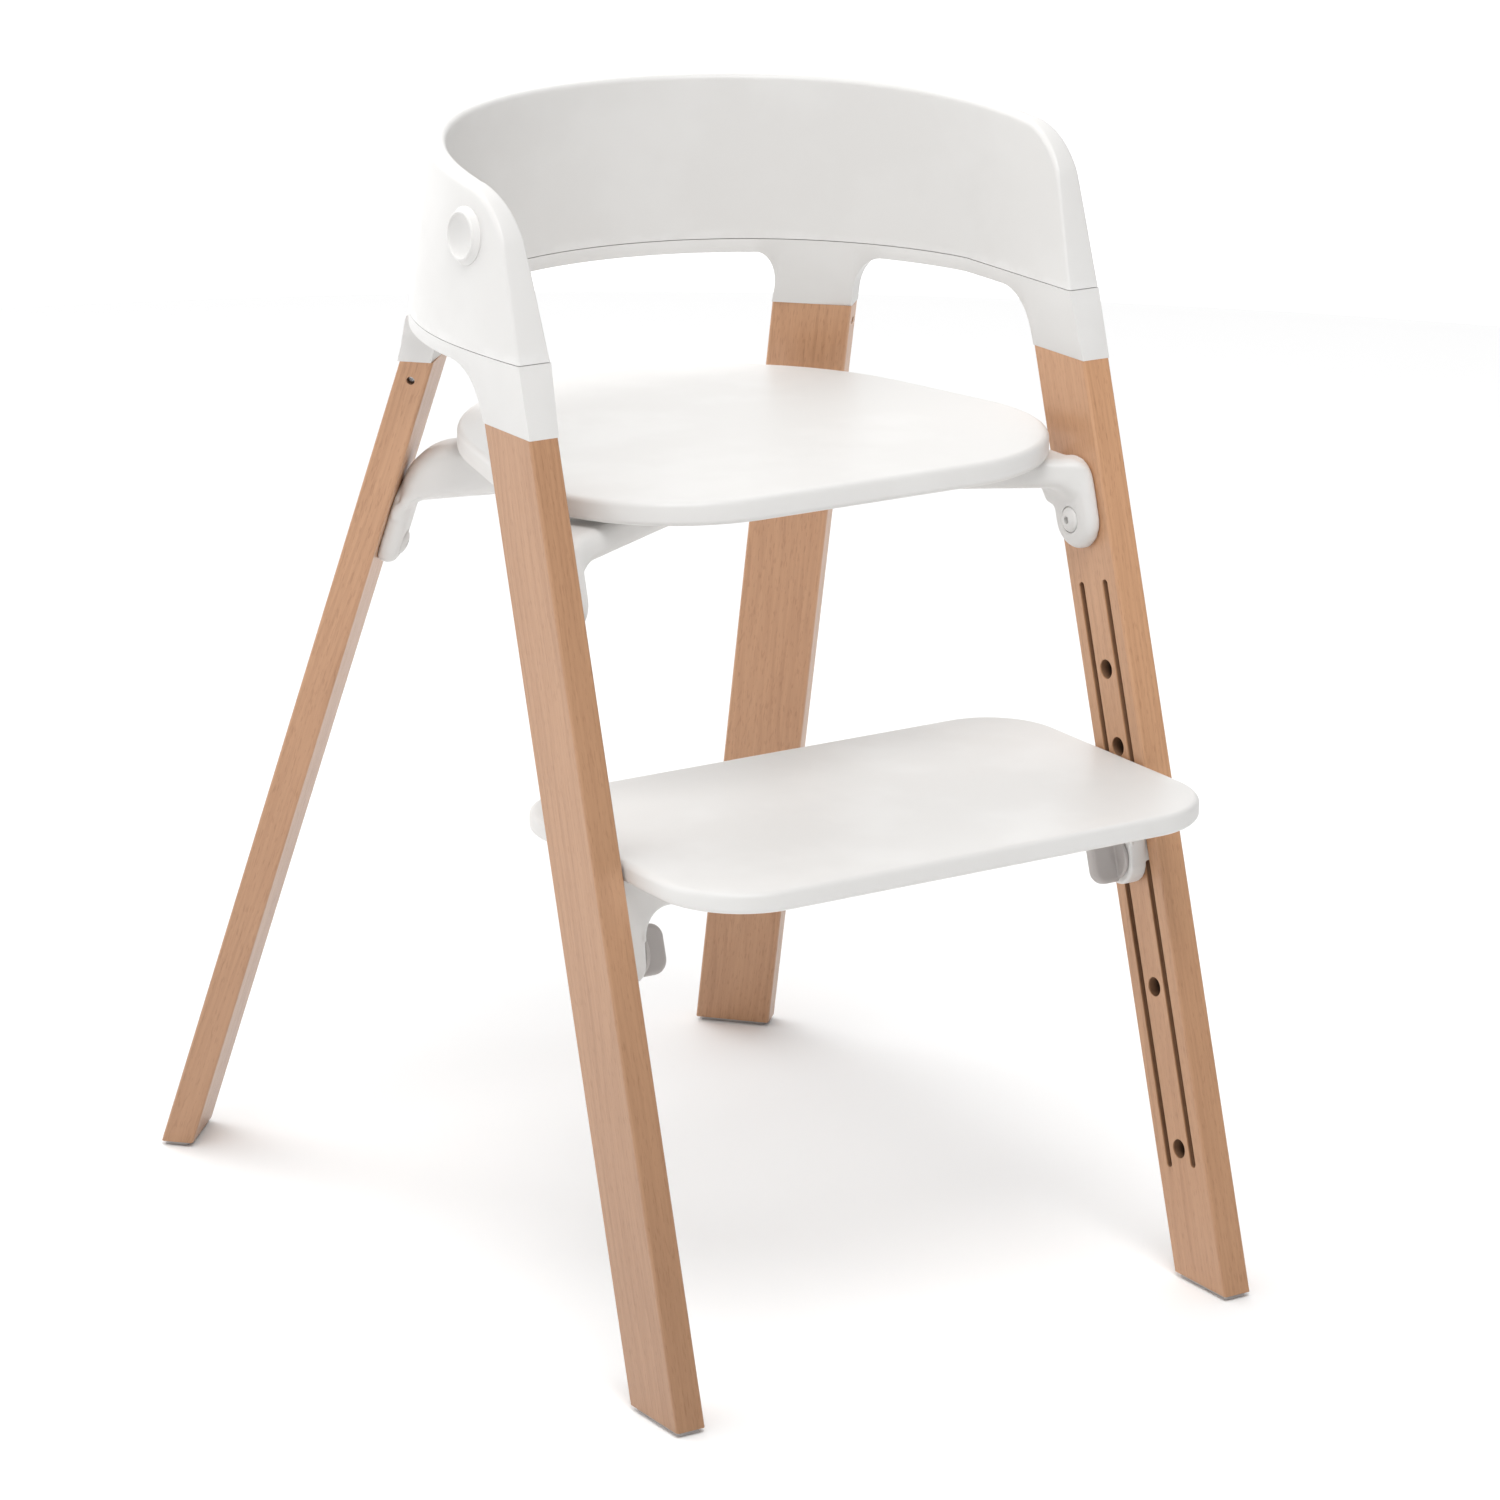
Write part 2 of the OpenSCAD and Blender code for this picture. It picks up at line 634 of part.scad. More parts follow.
module front_leg() {
    difference() {
        intersection() {
            front_leg_frame()
                board(front_leg_t, front_leg_w, leg_edge_r);
            level_slab(glide_t, front_leg_top);
        }
        front_leg_frame() {
            // Slot for the tongue
            translate([-tongue_t / 2 - fit_clear, -tongue_w / 2 - fit_clear, front_top_s - tongue_len - 1])
                cube([tongue_t + 2 * fit_clear, tongue_w + 2 * fit_clear, 2 * tongue_len]);
            cross_screw_hole(front_leg_w / 2, front_top_s - cross_drop);
            translate([0, 0, front_bolt_s])
                insert_pocket();
            for (i = [0 : last_hole])
                translate([0, 0, hole_s(i)])
                    rod_x(-leg_face - 1, lock_hole_depth - leg_face, lock_hole_r);
            for (side = [-1, 1])
                translate([-leg_face - 1, side * groove_offset, 0])
                    rotate([90, 0, 90])
                        linear_extrude(groove_depth + 1)
                            slot_shape(groove_w / 2, groove_low, groove_high);
        }
        nail_hole(front_centre(0));
    }
}

module rear_leg() {
    difference() {
        intersection() {
            rear_leg_frame()
                board(rear_leg_w, rear_leg_t, leg_edge_r);
            level_slab(glide_t, rear_leg_top);
        }
        rear_leg_frame() {
            translate([-tongue_w / 2 - fit_clear, -tongue_t / 2 - fit_clear, rear_top_s - tongue_len - 1])
                cube([tongue_w + 2 * fit_clear, tongue_t + 2 * fit_clear, 2 * tongue_len]);
            rotate([0, 0, -90])
                cross_screw_hole(rear_leg_w / 2, rear_top_s - cross_drop);
            translate([0, 0, rear_bolt_s])
                rotate([0, 0, 90])
                    translate([leg_face - rear_leg_t / 2, 0, 0])
                        insert_pocket();
        }
        nail_hole(rear_centre(0));
    }
}

// The tongues start inside the sockets, so that they are one piece with the frame
tongue_root = 14;

module tongues() {
    front_leg_frame()
        translate([-tongue_t / 2, -tongue_w / 2, front_top_s - tongue_len])
            cube([tongue_t, tongue_w, tongue_len + tongue_root]);
    rear_leg_frame()
        translate([-tongue_w / 2, -tongue_t / 2, rear_top_s - tongue_len])
            cube([tongue_w, tongue_t, tongue_len + tongue_root]);
}

module tongue_screw_holes() {
    front_leg_frame()
        translate([0, tongue_w, front_top_s - cross_drop])
            rotate([90, 0, 0])
                cylinder(h = 2 * tongue_w, r = cross_d / 2 + screw_clear, $fn = 24);
    rear_leg_frame()
        translate([-tongue_w, 0, rear_top_s - cross_drop])
            rotate([0, 90, 0])
                cylinder(h = 2 * tongue_w, r = cross_d / 2 + screw_clear, $fn = 24);
}

// Places of the shell screws, in the arches at the sides and the back
shell_screw_angles = [(front_socket_end + rear_socket_low) / 2, mix(rear_socket_high, 90, 0.75)];
shell_head_h = 2.5;
function screw_point(a) = mix(seam_out(a), seam_in(a), 0.5);

module at_shell_screws() {
    for (side = [left, right], a = shell_screw_angles)
        on_side(side)
            translate([screw_point(a)[0], screw_point(a)[1], arch_z])
                children();
}

module backrest_shell() {
    color(plastic_white)
        placed()
            difference() {
                skin(both_halves(shell_half()));
                at_shell_screws()
                    cylinder(h = shell_head_h + shell_screw_len + 1, r = shell_screw_d / 2 + screw_clear,
                        $fn = 24);
                for (side = [left, right])
                    on_side(side)
                        stud_pocket();
            }
}

module upper_frame() {
    color(plastic_white)
        placed()
            difference() {
                union() {
                    skin(both_halves(frame_half()));
                    for (side = [left, right])
                        on_side(side)
                            tongues();
                }
                for (side = [left, right])
                    on_side(side)
                        tongue_screw_holes();
                at_shell_screws() {
                    translate([0, 0, -1])
                        cylinder(h = shell_head_h + 1, r = shell_head_d / 2 + screw_clear, $fn = 32);
                    cylinder(h = big / 50, r = shell_screw_d / 2 + screw_clear, $fn = 24);
                }
            }
}

module shell_screws() {
    color(steel)
        placed()
            at_shell_screws() {
                cylinder(h = shell_head_h, r = shell_head_d / 2, $fn = 32);
                translate([0, 0, shell_head_h - 0.5])
                    cylinder(h = shell_screw_len, r = shell_screw_d / 2, $fn = 24);
            }
}

// The wall's outer face at a stud, and the wall's slope there
stud_share = (stud_z - seam_z) / (side_rim_z - seam_z);
stud_face_x = mix(hoop_r, rim_a, stud_share);
stud_slope = atan((hoop_r - rim_a) / (side_rim_z - seam_z));
stud_sink = 1.2;

module stud_frame() {
    translate([stud_face_x, -stud_y, stud_z])
        rotate([0, -stud_slope, 0])
            children();
}

module stud_pocket() {
    stud_frame() {
        rod_x(-stud_sink, big / 100, stud_base_r + screw_clear);
        rod_x(-stud_sink - stud_stem_len - 0.3, 0, stud_stem_r + fit_clear);
    }
}

module stud_body() {
    edge = 1;
    foot = 0.8;
    dish_ball_r = (stud_dish_r * stud_dish_r + stud_dish_depth * stud_dish_depth) / (2 * stud_dish_depth);
    stud_frame()
        rotate([0, 90, 0])
            difference() {
                rotate_extrude($fn = 64)
                    difference() {
                        union() {
                            translate([0, -stud_sink])
                                square([stud_base_r, stud_sink + foot]);
                            polygon([[0, foot], [stud_base_r, foot], [stud_r, stud_out - edge], [0, stud_out - edge]]);
                            translate([0, stud_out - edge - overlap])
                                square([stud_r - edge, edge + overlap]);
                            translate([stud_r - edge, stud_out - edge])
                                circle(edge, $fn = 24);
                            translate([0, -stud_sink - stud_stem_len])
                                square([stud_stem_r, stud_stem_len + overlap]);
                        }
                        translate([-big, -big / 2])
                            square([big, big]);
                    }
                translate([0, 0, stud_out - stud_dish_depth + dish_ball_r])
                    sphere(dish_ball_r, $fn = 96);
            }
}

module accessory_stud(side) {
    color(plastic_white)
        placed()
            on_side(side)
                stud_body();
}

module leg_cross_screws() {
    color(steel)
        placed()
            for (side = [left, right])
                on_side(side) {
                    front_leg_frame()
                        cross_screw(front_leg_w / 2, front_top_s - cross_drop);
                    rear_leg_frame()
                        rotate([0, 0, -90])
                            cross_screw(rear_leg_w / 2, rear_top_s - cross_drop);
                }
}

module glides() {
    color(knob_grey)
        placed()
            for (side = [left, right])
                on_side(side)
                    difference() {
                        intersection() {
                            union() {
                                front_leg_frame()
                                    board(front_leg_t - 2 * glide_inset, front_leg_w - 2 * glide_inset, leg_edge_r);
                                rear_leg_frame()
                                    board(rear_leg_w - 2 * glide_inset, rear_leg_t - 2 * glide_inset, leg_edge_r);
                            }
                            level_slab(0, glide_t);
                        }
                        for (c = [front_centre(0), rear_centre(0)])
                            translate([c[0], c[1], -1]) {
                                cylinder(h = big / 50, r = nail_d / 2 + fit_clear, $fn = 24);
                                cylinder(h = 1 + glide_t - nail_head_h, r = nail_head_r + fit_clear, $fn = 24);
                            }
                    }
}

module glide_nails() {
    head_top = glide_t - nail_head_h;
    color(steel)
        placed()
            for (side = [left, right])
                on_side(side)
                    for (c = [front_centre(0), rear_centre(0)])
                        translate([c[0], c[1], head_top - nail_head_t]) {
                            cylinder(h = nail_head_t, r = nail_head_r, $fn = 24);
                            translate([0, 0, nail_head_t - overlap])
                                cylinder(h = nail_len + nail_head_h, r = nail_d / 2, $fn = 24);
                        }
}

// A round disc with rounded upper and lower edges, from which the plates are drawn
module soft_disc(r, t, sides, turn = 360) {
    rotate_extrude(angle = turn, $fn = sides)
        difference() {
            union() {
                square([r - plate_edge_r, t]);
                translate([0, plate_edge_r])
                    square([r, t - 2 * plate_edge_r]);
                for (z = [plate_edge_r, t - plate_edge_r])
                    translate([r - plate_edge_r, z])
                        circle(plate_edge_r, $fn = 16);
            }
            translate([-big, -big / 2])
                square([big, big]);
        }
}

seat_screws = [for (side = [left, right], meet = [front_meet, rear_meet])
    let(k = mix([0, hub_y], meet, seat_screw_place)) [side * k[0], k[1]]];
seat_screw_recess_h = 14;
head_clear = 0.5;
front_head_seat = bolt_sink - leg_face - front_pad_t;
rear_head_seat = bolt_sink - rear_leg_t / 2 - rear_pad_t;

module seat_plate() {
    color(plastic_white)
        placed()
            difference() {
                translate([0, 0, seat_under])
                    hull() {
                        translate([0, seat_back_y, 0])
                            soft_disc(seat_r, seat_t, 72, 180);
                        for (side = [left, right])
                            translate([side * (seat_front_half - seat_corner_r), seat_corner_r - seat_front_y, 0])
                                soft_disc(seat_corner_r, seat_t, 72);
                    }
                for (p = seat_screws)
                    translate([p[0], p[1], seat_under - 1])
                        cylinder(h = seat_screw_in + 1.3, r = plate_screw_d / 2 + screw_clear, $fn = 24);
            }
}

module front_pad(t) {
    front_leg_frame()
        translate([-leg_face - t, 0, front_bolt_s])
            rotate([90, 0, 90])
                linear_extrude(t)
                    slot_shape(front_pad_w / 2, 0, front_pad_rise);
}

module rear_pad(t) {
    rear_leg_frame()
        translate([0, -rear_leg_t / 2, rear_bolt_s])
            rotate([90, 0, 0])
                linear_extrude(t)
                    slot_shape(rear_pad_w / 2, 0, rear_pad_rise);
}

// Side view of a front arm, from the hub at 0 out past the leg's face. Its top sinks away from the
// seat, and a hollow curve leads down into the pad.
module front_arm_profile(reach) {
    foot = reach - front_pad_t - arm_curve_r;
    under = arm_top - front_arm_depth;
    far = reach + front_arm_w;
    polygon([[0, under], [far, under], [far, arm_end_top], [arm_sink_end * reach, arm_end_top],
        [arm_sink_start * reach, arm_top], [0, arm_top]]);
    hollow_corner(foot, under);
}

// Side view of a rear arm. Its underside drops towards the leg, its top sinks away from the seat and
// rounds down to the leg. The hollow curve ends on the pad's face, which leans as the leg does.
module rear_arm_profile(reach) {
    bend = rear_arm_level * reach;
    under = hub_under - rear_arm_drop;
    lean_run = (rear_arm_z - under + arm_curve_r) * tan(rear_lean);
    foot = reach + lean_run - rear_pad_t / cos(rear_lean) - arm_curve_r;
    round_x = reach - rear_arm_top_r;
    round_z = arm_end_top - rear_arm_top_r;
    side_z = max(round_z, under + overlap);
    far = reach + rear_arm_w;
    polygon([[0, hub_under], [bend, hub_under], [foot, under], [far, under], [far, side_z],
        [round_x, side_z], [round_x, arm_end_top], [arm_sink_end * reach, arm_end_top],
        [arm_sink_start * reach, arm_top], [0, arm_top]]);
    intersection() {
        translate([round_x, round_z])
            circle(rear_arm_top_r, $fn = 96);
        translate([round_x - overlap, round_z - overlap])
            square(2 * rear_arm_top_r);
    }
    hollow_corner(foot, under);
}

module hollow_corner(foot, under) {
    difference() {
        translate([foot, under - arm_curve_r])
            square([arm_curve_r + 1, arm_curve_r + overlap]);
        translate([foot, under - arm_curve_r])
            circle(arm_curve_r, $fn = 48);
    }
}

// Turns a side view into an arm that runs from the hub towards the point meet
module arm(meet, width) {
    run = meet - [0, hub_y];
    translate([0, hub_y, 0])
        rotate([90, 0, atan2(run[1], run[0])])
            linear_extrude(width, center = true)
                children();
}

// What is cut off a front arm to round its outer top along the leg's face
module front_arm_corner() {
    translate([front_meet[0] - front_arm_top_r, 0, arm_end_top - front_arm_top_r])
        rotate([90, 0, 0])
            difference() {
                translate([0, 0, -big / 2])
                    cube([big / 10, big / 10, big]);
                cylinder(h = 2 * big, r = front_arm_top_r, center = true);
            }
}

module half_bracket() {
    front_pad(front_pad_t);
    rear_pad(rear_pad_t);
    difference() {
        union() {
            difference() {
                arm(front_meet, front_arm_w)
                    front_arm_profile(norm(front_meet - [0, hub_y]));
                front_arm_corner();
            }
            arm(rear_meet, rear_arm_w)
                rear_arm_profile(norm(rear_meet - [0, hub_y]));
        }
        front_leg_frame()
            translate([-leg_face, -big / 2, 0])
                cube([big / 10, big, big]);
        rear_leg_frame()
            translate([-big / 2, -rear_leg_t / 2, 0])
                cube([big, big / 10, big]);
    }
}

module seat_bracket() {
    color(plastic_white)
        placed()
            difference() {
                union() {
                    for (side = [left, right])
                        on_side(side)
                            half_bracket();
                    translate([0, hub_y, hub_under])
                        cylinder(h = hub_depth, r = hub_r, $fn = 64);
                }
                for (p = seat_screws)
                    translate([p[0], p[1], hub_under]) {
                        translate([0, 0, -hub_depth])
                            cylinder(h = seat_screw_recess_h + hub_depth, r = plate_head_d / 2 + 0.5, $fn = 32);
                        cylinder(h = big / 50, r = plate_screw_d / 2 + screw_clear, $fn = 24);
                    }
                for (side = [left, right])
                    on_side(side) {
                        front_leg_frame()
                            translate([0, 0, front_bolt_s]) {
                                rod_x(-big / 50, 0, bolt_r + screw_clear);
                                rod_x(-big / 50, front_head_seat, bolt_head_r + head_clear);
                            }
                        rear_leg_frame()
                            translate([0, 0, rear_bolt_s])
                                rotate([0, 0, 90]) {
                                    rod_x(-big / 50, 0, bolt_r + screw_clear);
                                    rod_x(-big / 50, rear_head_seat, bolt_head_r + head_clear);
                                }
                    }
            }
}

// A domed bolt that lies along +X, its head's flat side at x = 0
module dome_bolt(shank) {
    ball_r = (bolt_head_r * bolt_head_r + bolt_head_h * bolt_head_h) / (2 * bolt_head_h);
    rotate([0, 90, 0]) {
        difference() {
            rotate_extrude($fn = 48)
                intersection() {
                    translate([0, ball_r - bolt_head_h])
                        circle(ball_r, $fn = 96);
                    translate([0, -bolt_head_h])
                        square([bolt_head_r, bolt_head_h]);
                }
            translate([0, 0, -bolt_head_h - 1])
                cylinder(h = hex_depth + 1, r = hex_w / sqrt(3), $fn = 6);
        }
        translate([0, 0, -overlap])
            cylinder(h = shank + overlap, r = bolt_r, $fn = 32);
    }
}

module seat_bracket_bolts() {
    color(plastic_white)
        placed()
            for (side = [left, right])
                on_side(side) {
                    front_leg_frame()
                        translate([front_head_seat, 0, front_bolt_s])
                            dome_bolt(front_pad_t - bolt_sink + insert_len - 1);
                    rear_leg_frame()
                        translate([0, rear_head_seat, rear_bolt_s])
                            rotate([0, 0, 90])
                                dome_bolt(rear_pad_t - bolt_sink + insert_len - 1);
                }
}

module sleeve() {
    difference() {
        rod_x(0, insert_len, insert_r);
        rod_x(-1, insert_len + 1, bolt_r + fit_clear);
    }
}

module leg_inserts() {
    color(brass)
        placed()
            for (side = [left, right])
                on_side(side) {
                    front_leg_frame()
                        translate([-leg_face, 0, front_bolt_s])
                            sleeve();
                    rear_leg_frame()
                        translate([0, -rear_leg_t / 2, rear_bolt_s])
                            rotate([0, 0, 90])
                                sleeve();
                }
}

// A plate screw that points up, its head's underside at z = 0
module plate_screw(shank) {
    translate([0, 0, -plate_head_h])
        cylinder(h = plate_head_h, r = plate_head_d / 2, $fn = 32);
    translate([0, 0, -overlap])
        cylinder(h = shank + overlap, r = plate_screw_d / 2, $fn = 24);
}

module seat_plate_screws() {
    color(steel)
        placed()
            for (p = seat_screws)
                translate([p[0], p[1], hub_under + seat_screw_recess_h])
                    plate_screw(hub_depth - seat_screw_recess_h + seat_screw_in);
}

// Plan places of the footrest's screws on the right side, in the middle of the flange
flange_mid_x = front_centre(footrest_under)[0] - ear_inner - flange_reach * 0.6;
ear_mid_y = front_centre(footrest_under)[1];
footrest_screws = [for (side = [left, right], k = [-0.5, 0.5])
    [side * flange_mid_x, ear_mid_y + k * footrest_screw_gap]];

module footrest_plate() {
    color(plastic_white)
        placed()
            difference() {
                translate([0, pin_y, footrest_under])
                    hull()
                        for (side = [left, right]) {
                            translate([side * (footrest_half - footrest_front_r),
                                footrest_front_r - footrest_front, 0])
                                soft_disc(footrest_front_r, footrest_t, 48);
                            translate([side * (footrest_half - footrest_rear_r),
                                footrest_rear - footrest_rear_r, 0])
                                soft_disc(footrest_rear_r, footrest_t, 48);
                        }
                for (p = footrest_screws)
                    translate([p[0], p[1], footrest_under - 1])
                        cylinder(h = footrest_screw_in + 1.3, r = plate_screw_d / 2 + screw_clear, $fn = 24);
            }
}

module ear() {
    low = pin_s - ear_drop + ear_w / 2;
    high = pin_s + footrest_above_pin * front_stretch;
    flange_s = footrest_under - flange_t;
    difference() {
        union() {
            intersection() {
                union() {
                    front_leg_frame() {
                        translate([-ear_inner, 0, 0])
                            rotate([90, 0, 90])
                                linear_extrude(ear_t)
                                    slot_shape(ear_w / 2, low, high);
                        for (side = [-1, 1])
                            translate([-ear_face, side * groove_offset - groove_w / 2 + rib_clear,
                                pin_s - rib_below])
                                cube([ear_gap + rib_reach, groove_w - 2 * rib_clear, rib_below + rib_above]);
                    }
                    // Flange under the footrest, with a hollow curve down to the ear
                    translate([front_centre(footrest_under)[0] - ear_inner, ear_mid_y, footrest_under])
                        rotate([90, 0, 0])
                            linear_extrude(ear_w, center = true)
                                flange_profile();
                }
                level_slab(0, footrest_under);
            }
        }
        front_leg_frame()
            translate([0, 0, pin_s]) {
                rod_x(-ear_inner - 1, 0, pin_r + run_clear);
                rod_x(-ear_inner - 1, -neck_end, knob_neck_r + run_clear);
            }
        for (k = [-0.5, 0.5])
            translate([flange_mid_x, ear_mid_y + k * footrest_screw_gap, 0])
                cylinder(h = big, r = plate_screw_d / 2 + screw_clear, $fn = 24);
    }
}

module flange_profile() {
    translate([-flange_reach, -flange_t])
        square([flange_reach + 1, flange_t]);
    difference() {
        translate([-flange_curve_r, -flange_t - flange_curve_r])
            square([flange_curve_r + 1, flange_curve_r + 0.5]);
        translate([-flange_curve_r, -flange_t - flange_curve_r])
            circle(flange_curve_r, $fn = 64);
    }
}

module footrest_bracket(side) {
    color(plastic_white)
        placed()
            on_side(side)
                difference() {
                    ear();
                    // Seats for the screw heads
                    for (k = [-0.5, 0.5])
                        translate([flange_mid_x, ear_mid_y + k * footrest_screw_gap, 0])
                            cylinder(h = footrest_under - flange_t + overlap, r = plate_head_d / 2 + 0.3, $fn = 32);
                }
}

module footrest_plate_screws() {
    color(steel)
        placed()
            for (p = footrest_screws)
                translate([p[0], p[1], footrest_under - flange_t + overlap])
                    plate_screw(flange_t - overlap + footrest_screw_in);
}

module knob_body() {
    difference() {
        union() {
            rod_x(-knob_face, -neck_end, knob_neck_r);
            rod_x(-fin_start, -knob_face, knob_flange_r);
            rotate([90, 0, 0])
                linear_extrude(knob_fin_t, center = true)
                    fin_outline();
        }
        rod_x(-knob_face, 0, pin_r + run_clear);
        rod_x(-tail_end - 0.5, 0, pin_tail_r + run_clear);
    }
}

module fin_outline() {
    r = knob_fin_r;
    half = knob_fin_h / 2;
    for (k = [-1, 1])
        translate([r - fin_end, k * (half - r)])
            circle(r);
    translate([-fin_end, r - half])
        square([r, 2 * (half - r)]);
    translate([r - fin_end, -half])
        square([knob_fin_out - r + 0.5, 2 * half]);
}

module lock_knob(side) {
    color(knob_grey)
        placed()
            on_side(side)
                front_leg_frame()
                    translate([0, 0, pin_s])
                        knob_body();
}

module lock_pin(side) {
    chamfer = 1;
    color(steel)
        placed()
            on_side(side)
                front_leg_frame()
                    translate([0, 0, pin_s]) {
                        rod_x(-pin_body_end, -ear_face - chamfer, pin_r);
                        translate([-ear_face - chamfer, 0, 0])
                            rotate([0, 90, 0])
                                cylinder(h = chamfer, r1 = pin_r, r2 = pin_r - chamfer);
                        rod_x(-tail_end, 0.5 - pin_body_end, pin_tail_r);
                    }
}

backrest_shell();
upper_frame();
color(beech) placed() on_side(left) front_leg();  // front_leg_left
color(beech) placed() on_side(right) front_leg();  // front_leg_right
color(beech) placed() on_side(left) rear_leg();  // rear_leg_left
color(beech) placed() on_side(right) rear_leg();  // rear_leg_right
leg_cross_screws();
shell_screws();
accessory_stud(left);  // accessory_stud_left
accessory_stud(right);  // accessory_stud_right
seat_plate();
seat_bracket();
seat_bracket_bolts();
leg_inserts();
seat_plate_screws();
footrest_plate();
footrest_bracket(left);  // footrest_bracket_left
footrest_bracket(right);  // footrest_bracket_right
footrest_plate_screws();
lock_knob(left);  // lock_knob_left
lock_knob(right);  // lock_knob_right
lock_pin(left);  // lock_pin_left
lock_pin(right);  // lock_pin_right
glides();
glide_nails();
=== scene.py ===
import bpy
import bmesh
import numpy as np
from math import radians, degrees, sin, cos, tan, atan, atan2, asin, acos, sqrt, pi
from mathutils import Matrix, Vector


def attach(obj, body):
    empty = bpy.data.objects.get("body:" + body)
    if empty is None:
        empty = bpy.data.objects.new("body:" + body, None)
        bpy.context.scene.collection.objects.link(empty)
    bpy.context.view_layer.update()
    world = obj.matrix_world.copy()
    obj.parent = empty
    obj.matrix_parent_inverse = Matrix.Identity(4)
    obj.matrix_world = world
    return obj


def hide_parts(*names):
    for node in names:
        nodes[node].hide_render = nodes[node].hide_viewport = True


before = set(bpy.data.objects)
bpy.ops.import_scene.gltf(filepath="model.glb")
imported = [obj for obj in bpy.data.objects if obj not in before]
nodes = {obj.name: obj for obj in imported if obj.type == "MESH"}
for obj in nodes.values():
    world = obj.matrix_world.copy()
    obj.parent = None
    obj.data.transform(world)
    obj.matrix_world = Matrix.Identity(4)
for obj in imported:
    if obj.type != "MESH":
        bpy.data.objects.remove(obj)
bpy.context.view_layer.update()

# Camera
# A long lens a little above the seat, in front of the chair's left side, as the photograph was taken.
# The target and distance were solved from the legs' corners.
footprint_shift = -0.066087
camera_azimuth = radians(-33.142)
camera_elevation = radians(16.9805)
camera_roll = radians(0.5621)
camera_distance = 3.75185
camera_target = Vector((-0.003587, footprint_shift, 0.326206))
camera_back = Vector((sin(camera_azimuth) * cos(camera_elevation),
                      -cos(camera_azimuth) * cos(camera_elevation), sin(camera_elevation)))
camera_right = Vector((cos(camera_azimuth), sin(camera_azimuth), 0.0))
camera_up = camera_back.cross(camera_right)
focal_px, picture_px, sensor_mm = 6016.98, 1500.0, 36.0
camera_data = bpy.data.cameras.new("photo_camera")
camera_data.sensor_fit = "HORIZONTAL"
camera_data.sensor_width = sensor_mm
camera_data.lens = focal_px / picture_px * sensor_mm
camera_data.clip_start = 0.1
camera_data.clip_end = 50.0
camera = bpy.data.objects.new("photo_camera", camera_data)
bpy.context.scene.collection.objects.link(camera)
rolled_right = camera_right * cos(camera_roll) + camera_up * sin(camera_roll)
rolled_up = camera_up * cos(camera_roll) - camera_right * sin(camera_roll)
camera_turn = Matrix((rolled_right, rolled_up, camera_back)).transposed()
camera_place = camera_target + camera_back * camera_distance
camera.matrix_world = Matrix.Translation(camera_place) @ camera_turn.to_4x4()
bpy.context.scene.camera = camera

# Studio
# A round pale floor in a white room whose light comes from behind the chair, from the picture's left
# and from above. Two soft boxes overhead light the flat tops.
room_lobes = [((0, 1, 0), 1.50), ((-1, 0, 0), 0.51), ((0, 0, 1), 0.66)]
below_floor, floor_reach, floor_sides, floor_white = 1.1, 2.7, 180, 0.96
soft_boxes = [("soft_box_front", (-0.6, -1.6, 3.2), 55), ("soft_box_back", (-0.6, 1.6, 3.2), 14)]
box_aim, box_width = (0, 0, 0.4), 1.6


def math_node(tree, operation, a, b=None, clamp=False):
    node = tree.nodes.new("ShaderNodeMath")
    node.operation = operation
    node.use_clamp = clamp
    for socket, value in zip(node.inputs, (a, b)):
        if value is None:
            continue
        if isinstance(value, (int, float)):
            socket.default_value = value
        else:
            tree.links.new(value, socket)
    return node.outputs[0]


def added(tree, a, b, clamp=False):
    return math_node(tree, "ADD", a, b, clamp)


def less(tree, a, b, clamp=False):
    return math_node(tree, "SUBTRACT", a, b, clamp)


def times(tree, a, b):
    return math_node(tree, "MULTIPLY", a, b)


world = bpy.data.worlds.new("pale_room")
world.use_nodes = True
room = world.node_tree
room_way = room.nodes.new("ShaderNodeTexCoord").outputs["Generated"]
room_light = 0.0
for way, strength in room_lobes:
    facing = room.nodes.new("ShaderNodeVectorMath")
    facing.operation = "DOT_PRODUCT"
    facing.inputs[1].default_value = way
    room.links.new(room_way, facing.inputs[0])
    lobe = times(room, math_node(room, "MAXIMUM", facing.outputs["Value"], 0.0), strength)
    room_light = added(room, lobe, room_light)
room_axes = room.nodes.new("ShaderNodeSeparateXYZ")
room.links.new(room_way, room_axes.inputs[0])
under = math_node(room, "LESS_THAN", room_axes.outputs["Z"], 0.0)
room_light = math_node(room, "MAXIMUM", room_light, times(room, under, below_floor))
room.nodes["Background"].inputs["Color"].default_value = (1.0, 1.0, 1.0, 1.0)
room.links.new(room_light, room.nodes["Background"].inputs["Strength"])
bpy.context.scene.world = world
bpy.context.scene.view_settings.view_transform = "Standard"
for name, place, watts in soft_boxes:
    data = bpy.data.lights.new(name, "AREA")
    data.shape = "RECTANGLE"
    data.size = box_width
    data.size_y = box_width
    data.energy = watts
    box = bpy.data.objects.new(name, data)
    box.location = place
    box.rotation_euler = (Vector(box_aim) - Vector(place)).to_track_quat("-Z", "Y").to_euler()
    bpy.context.scene.collection.objects.link(box)

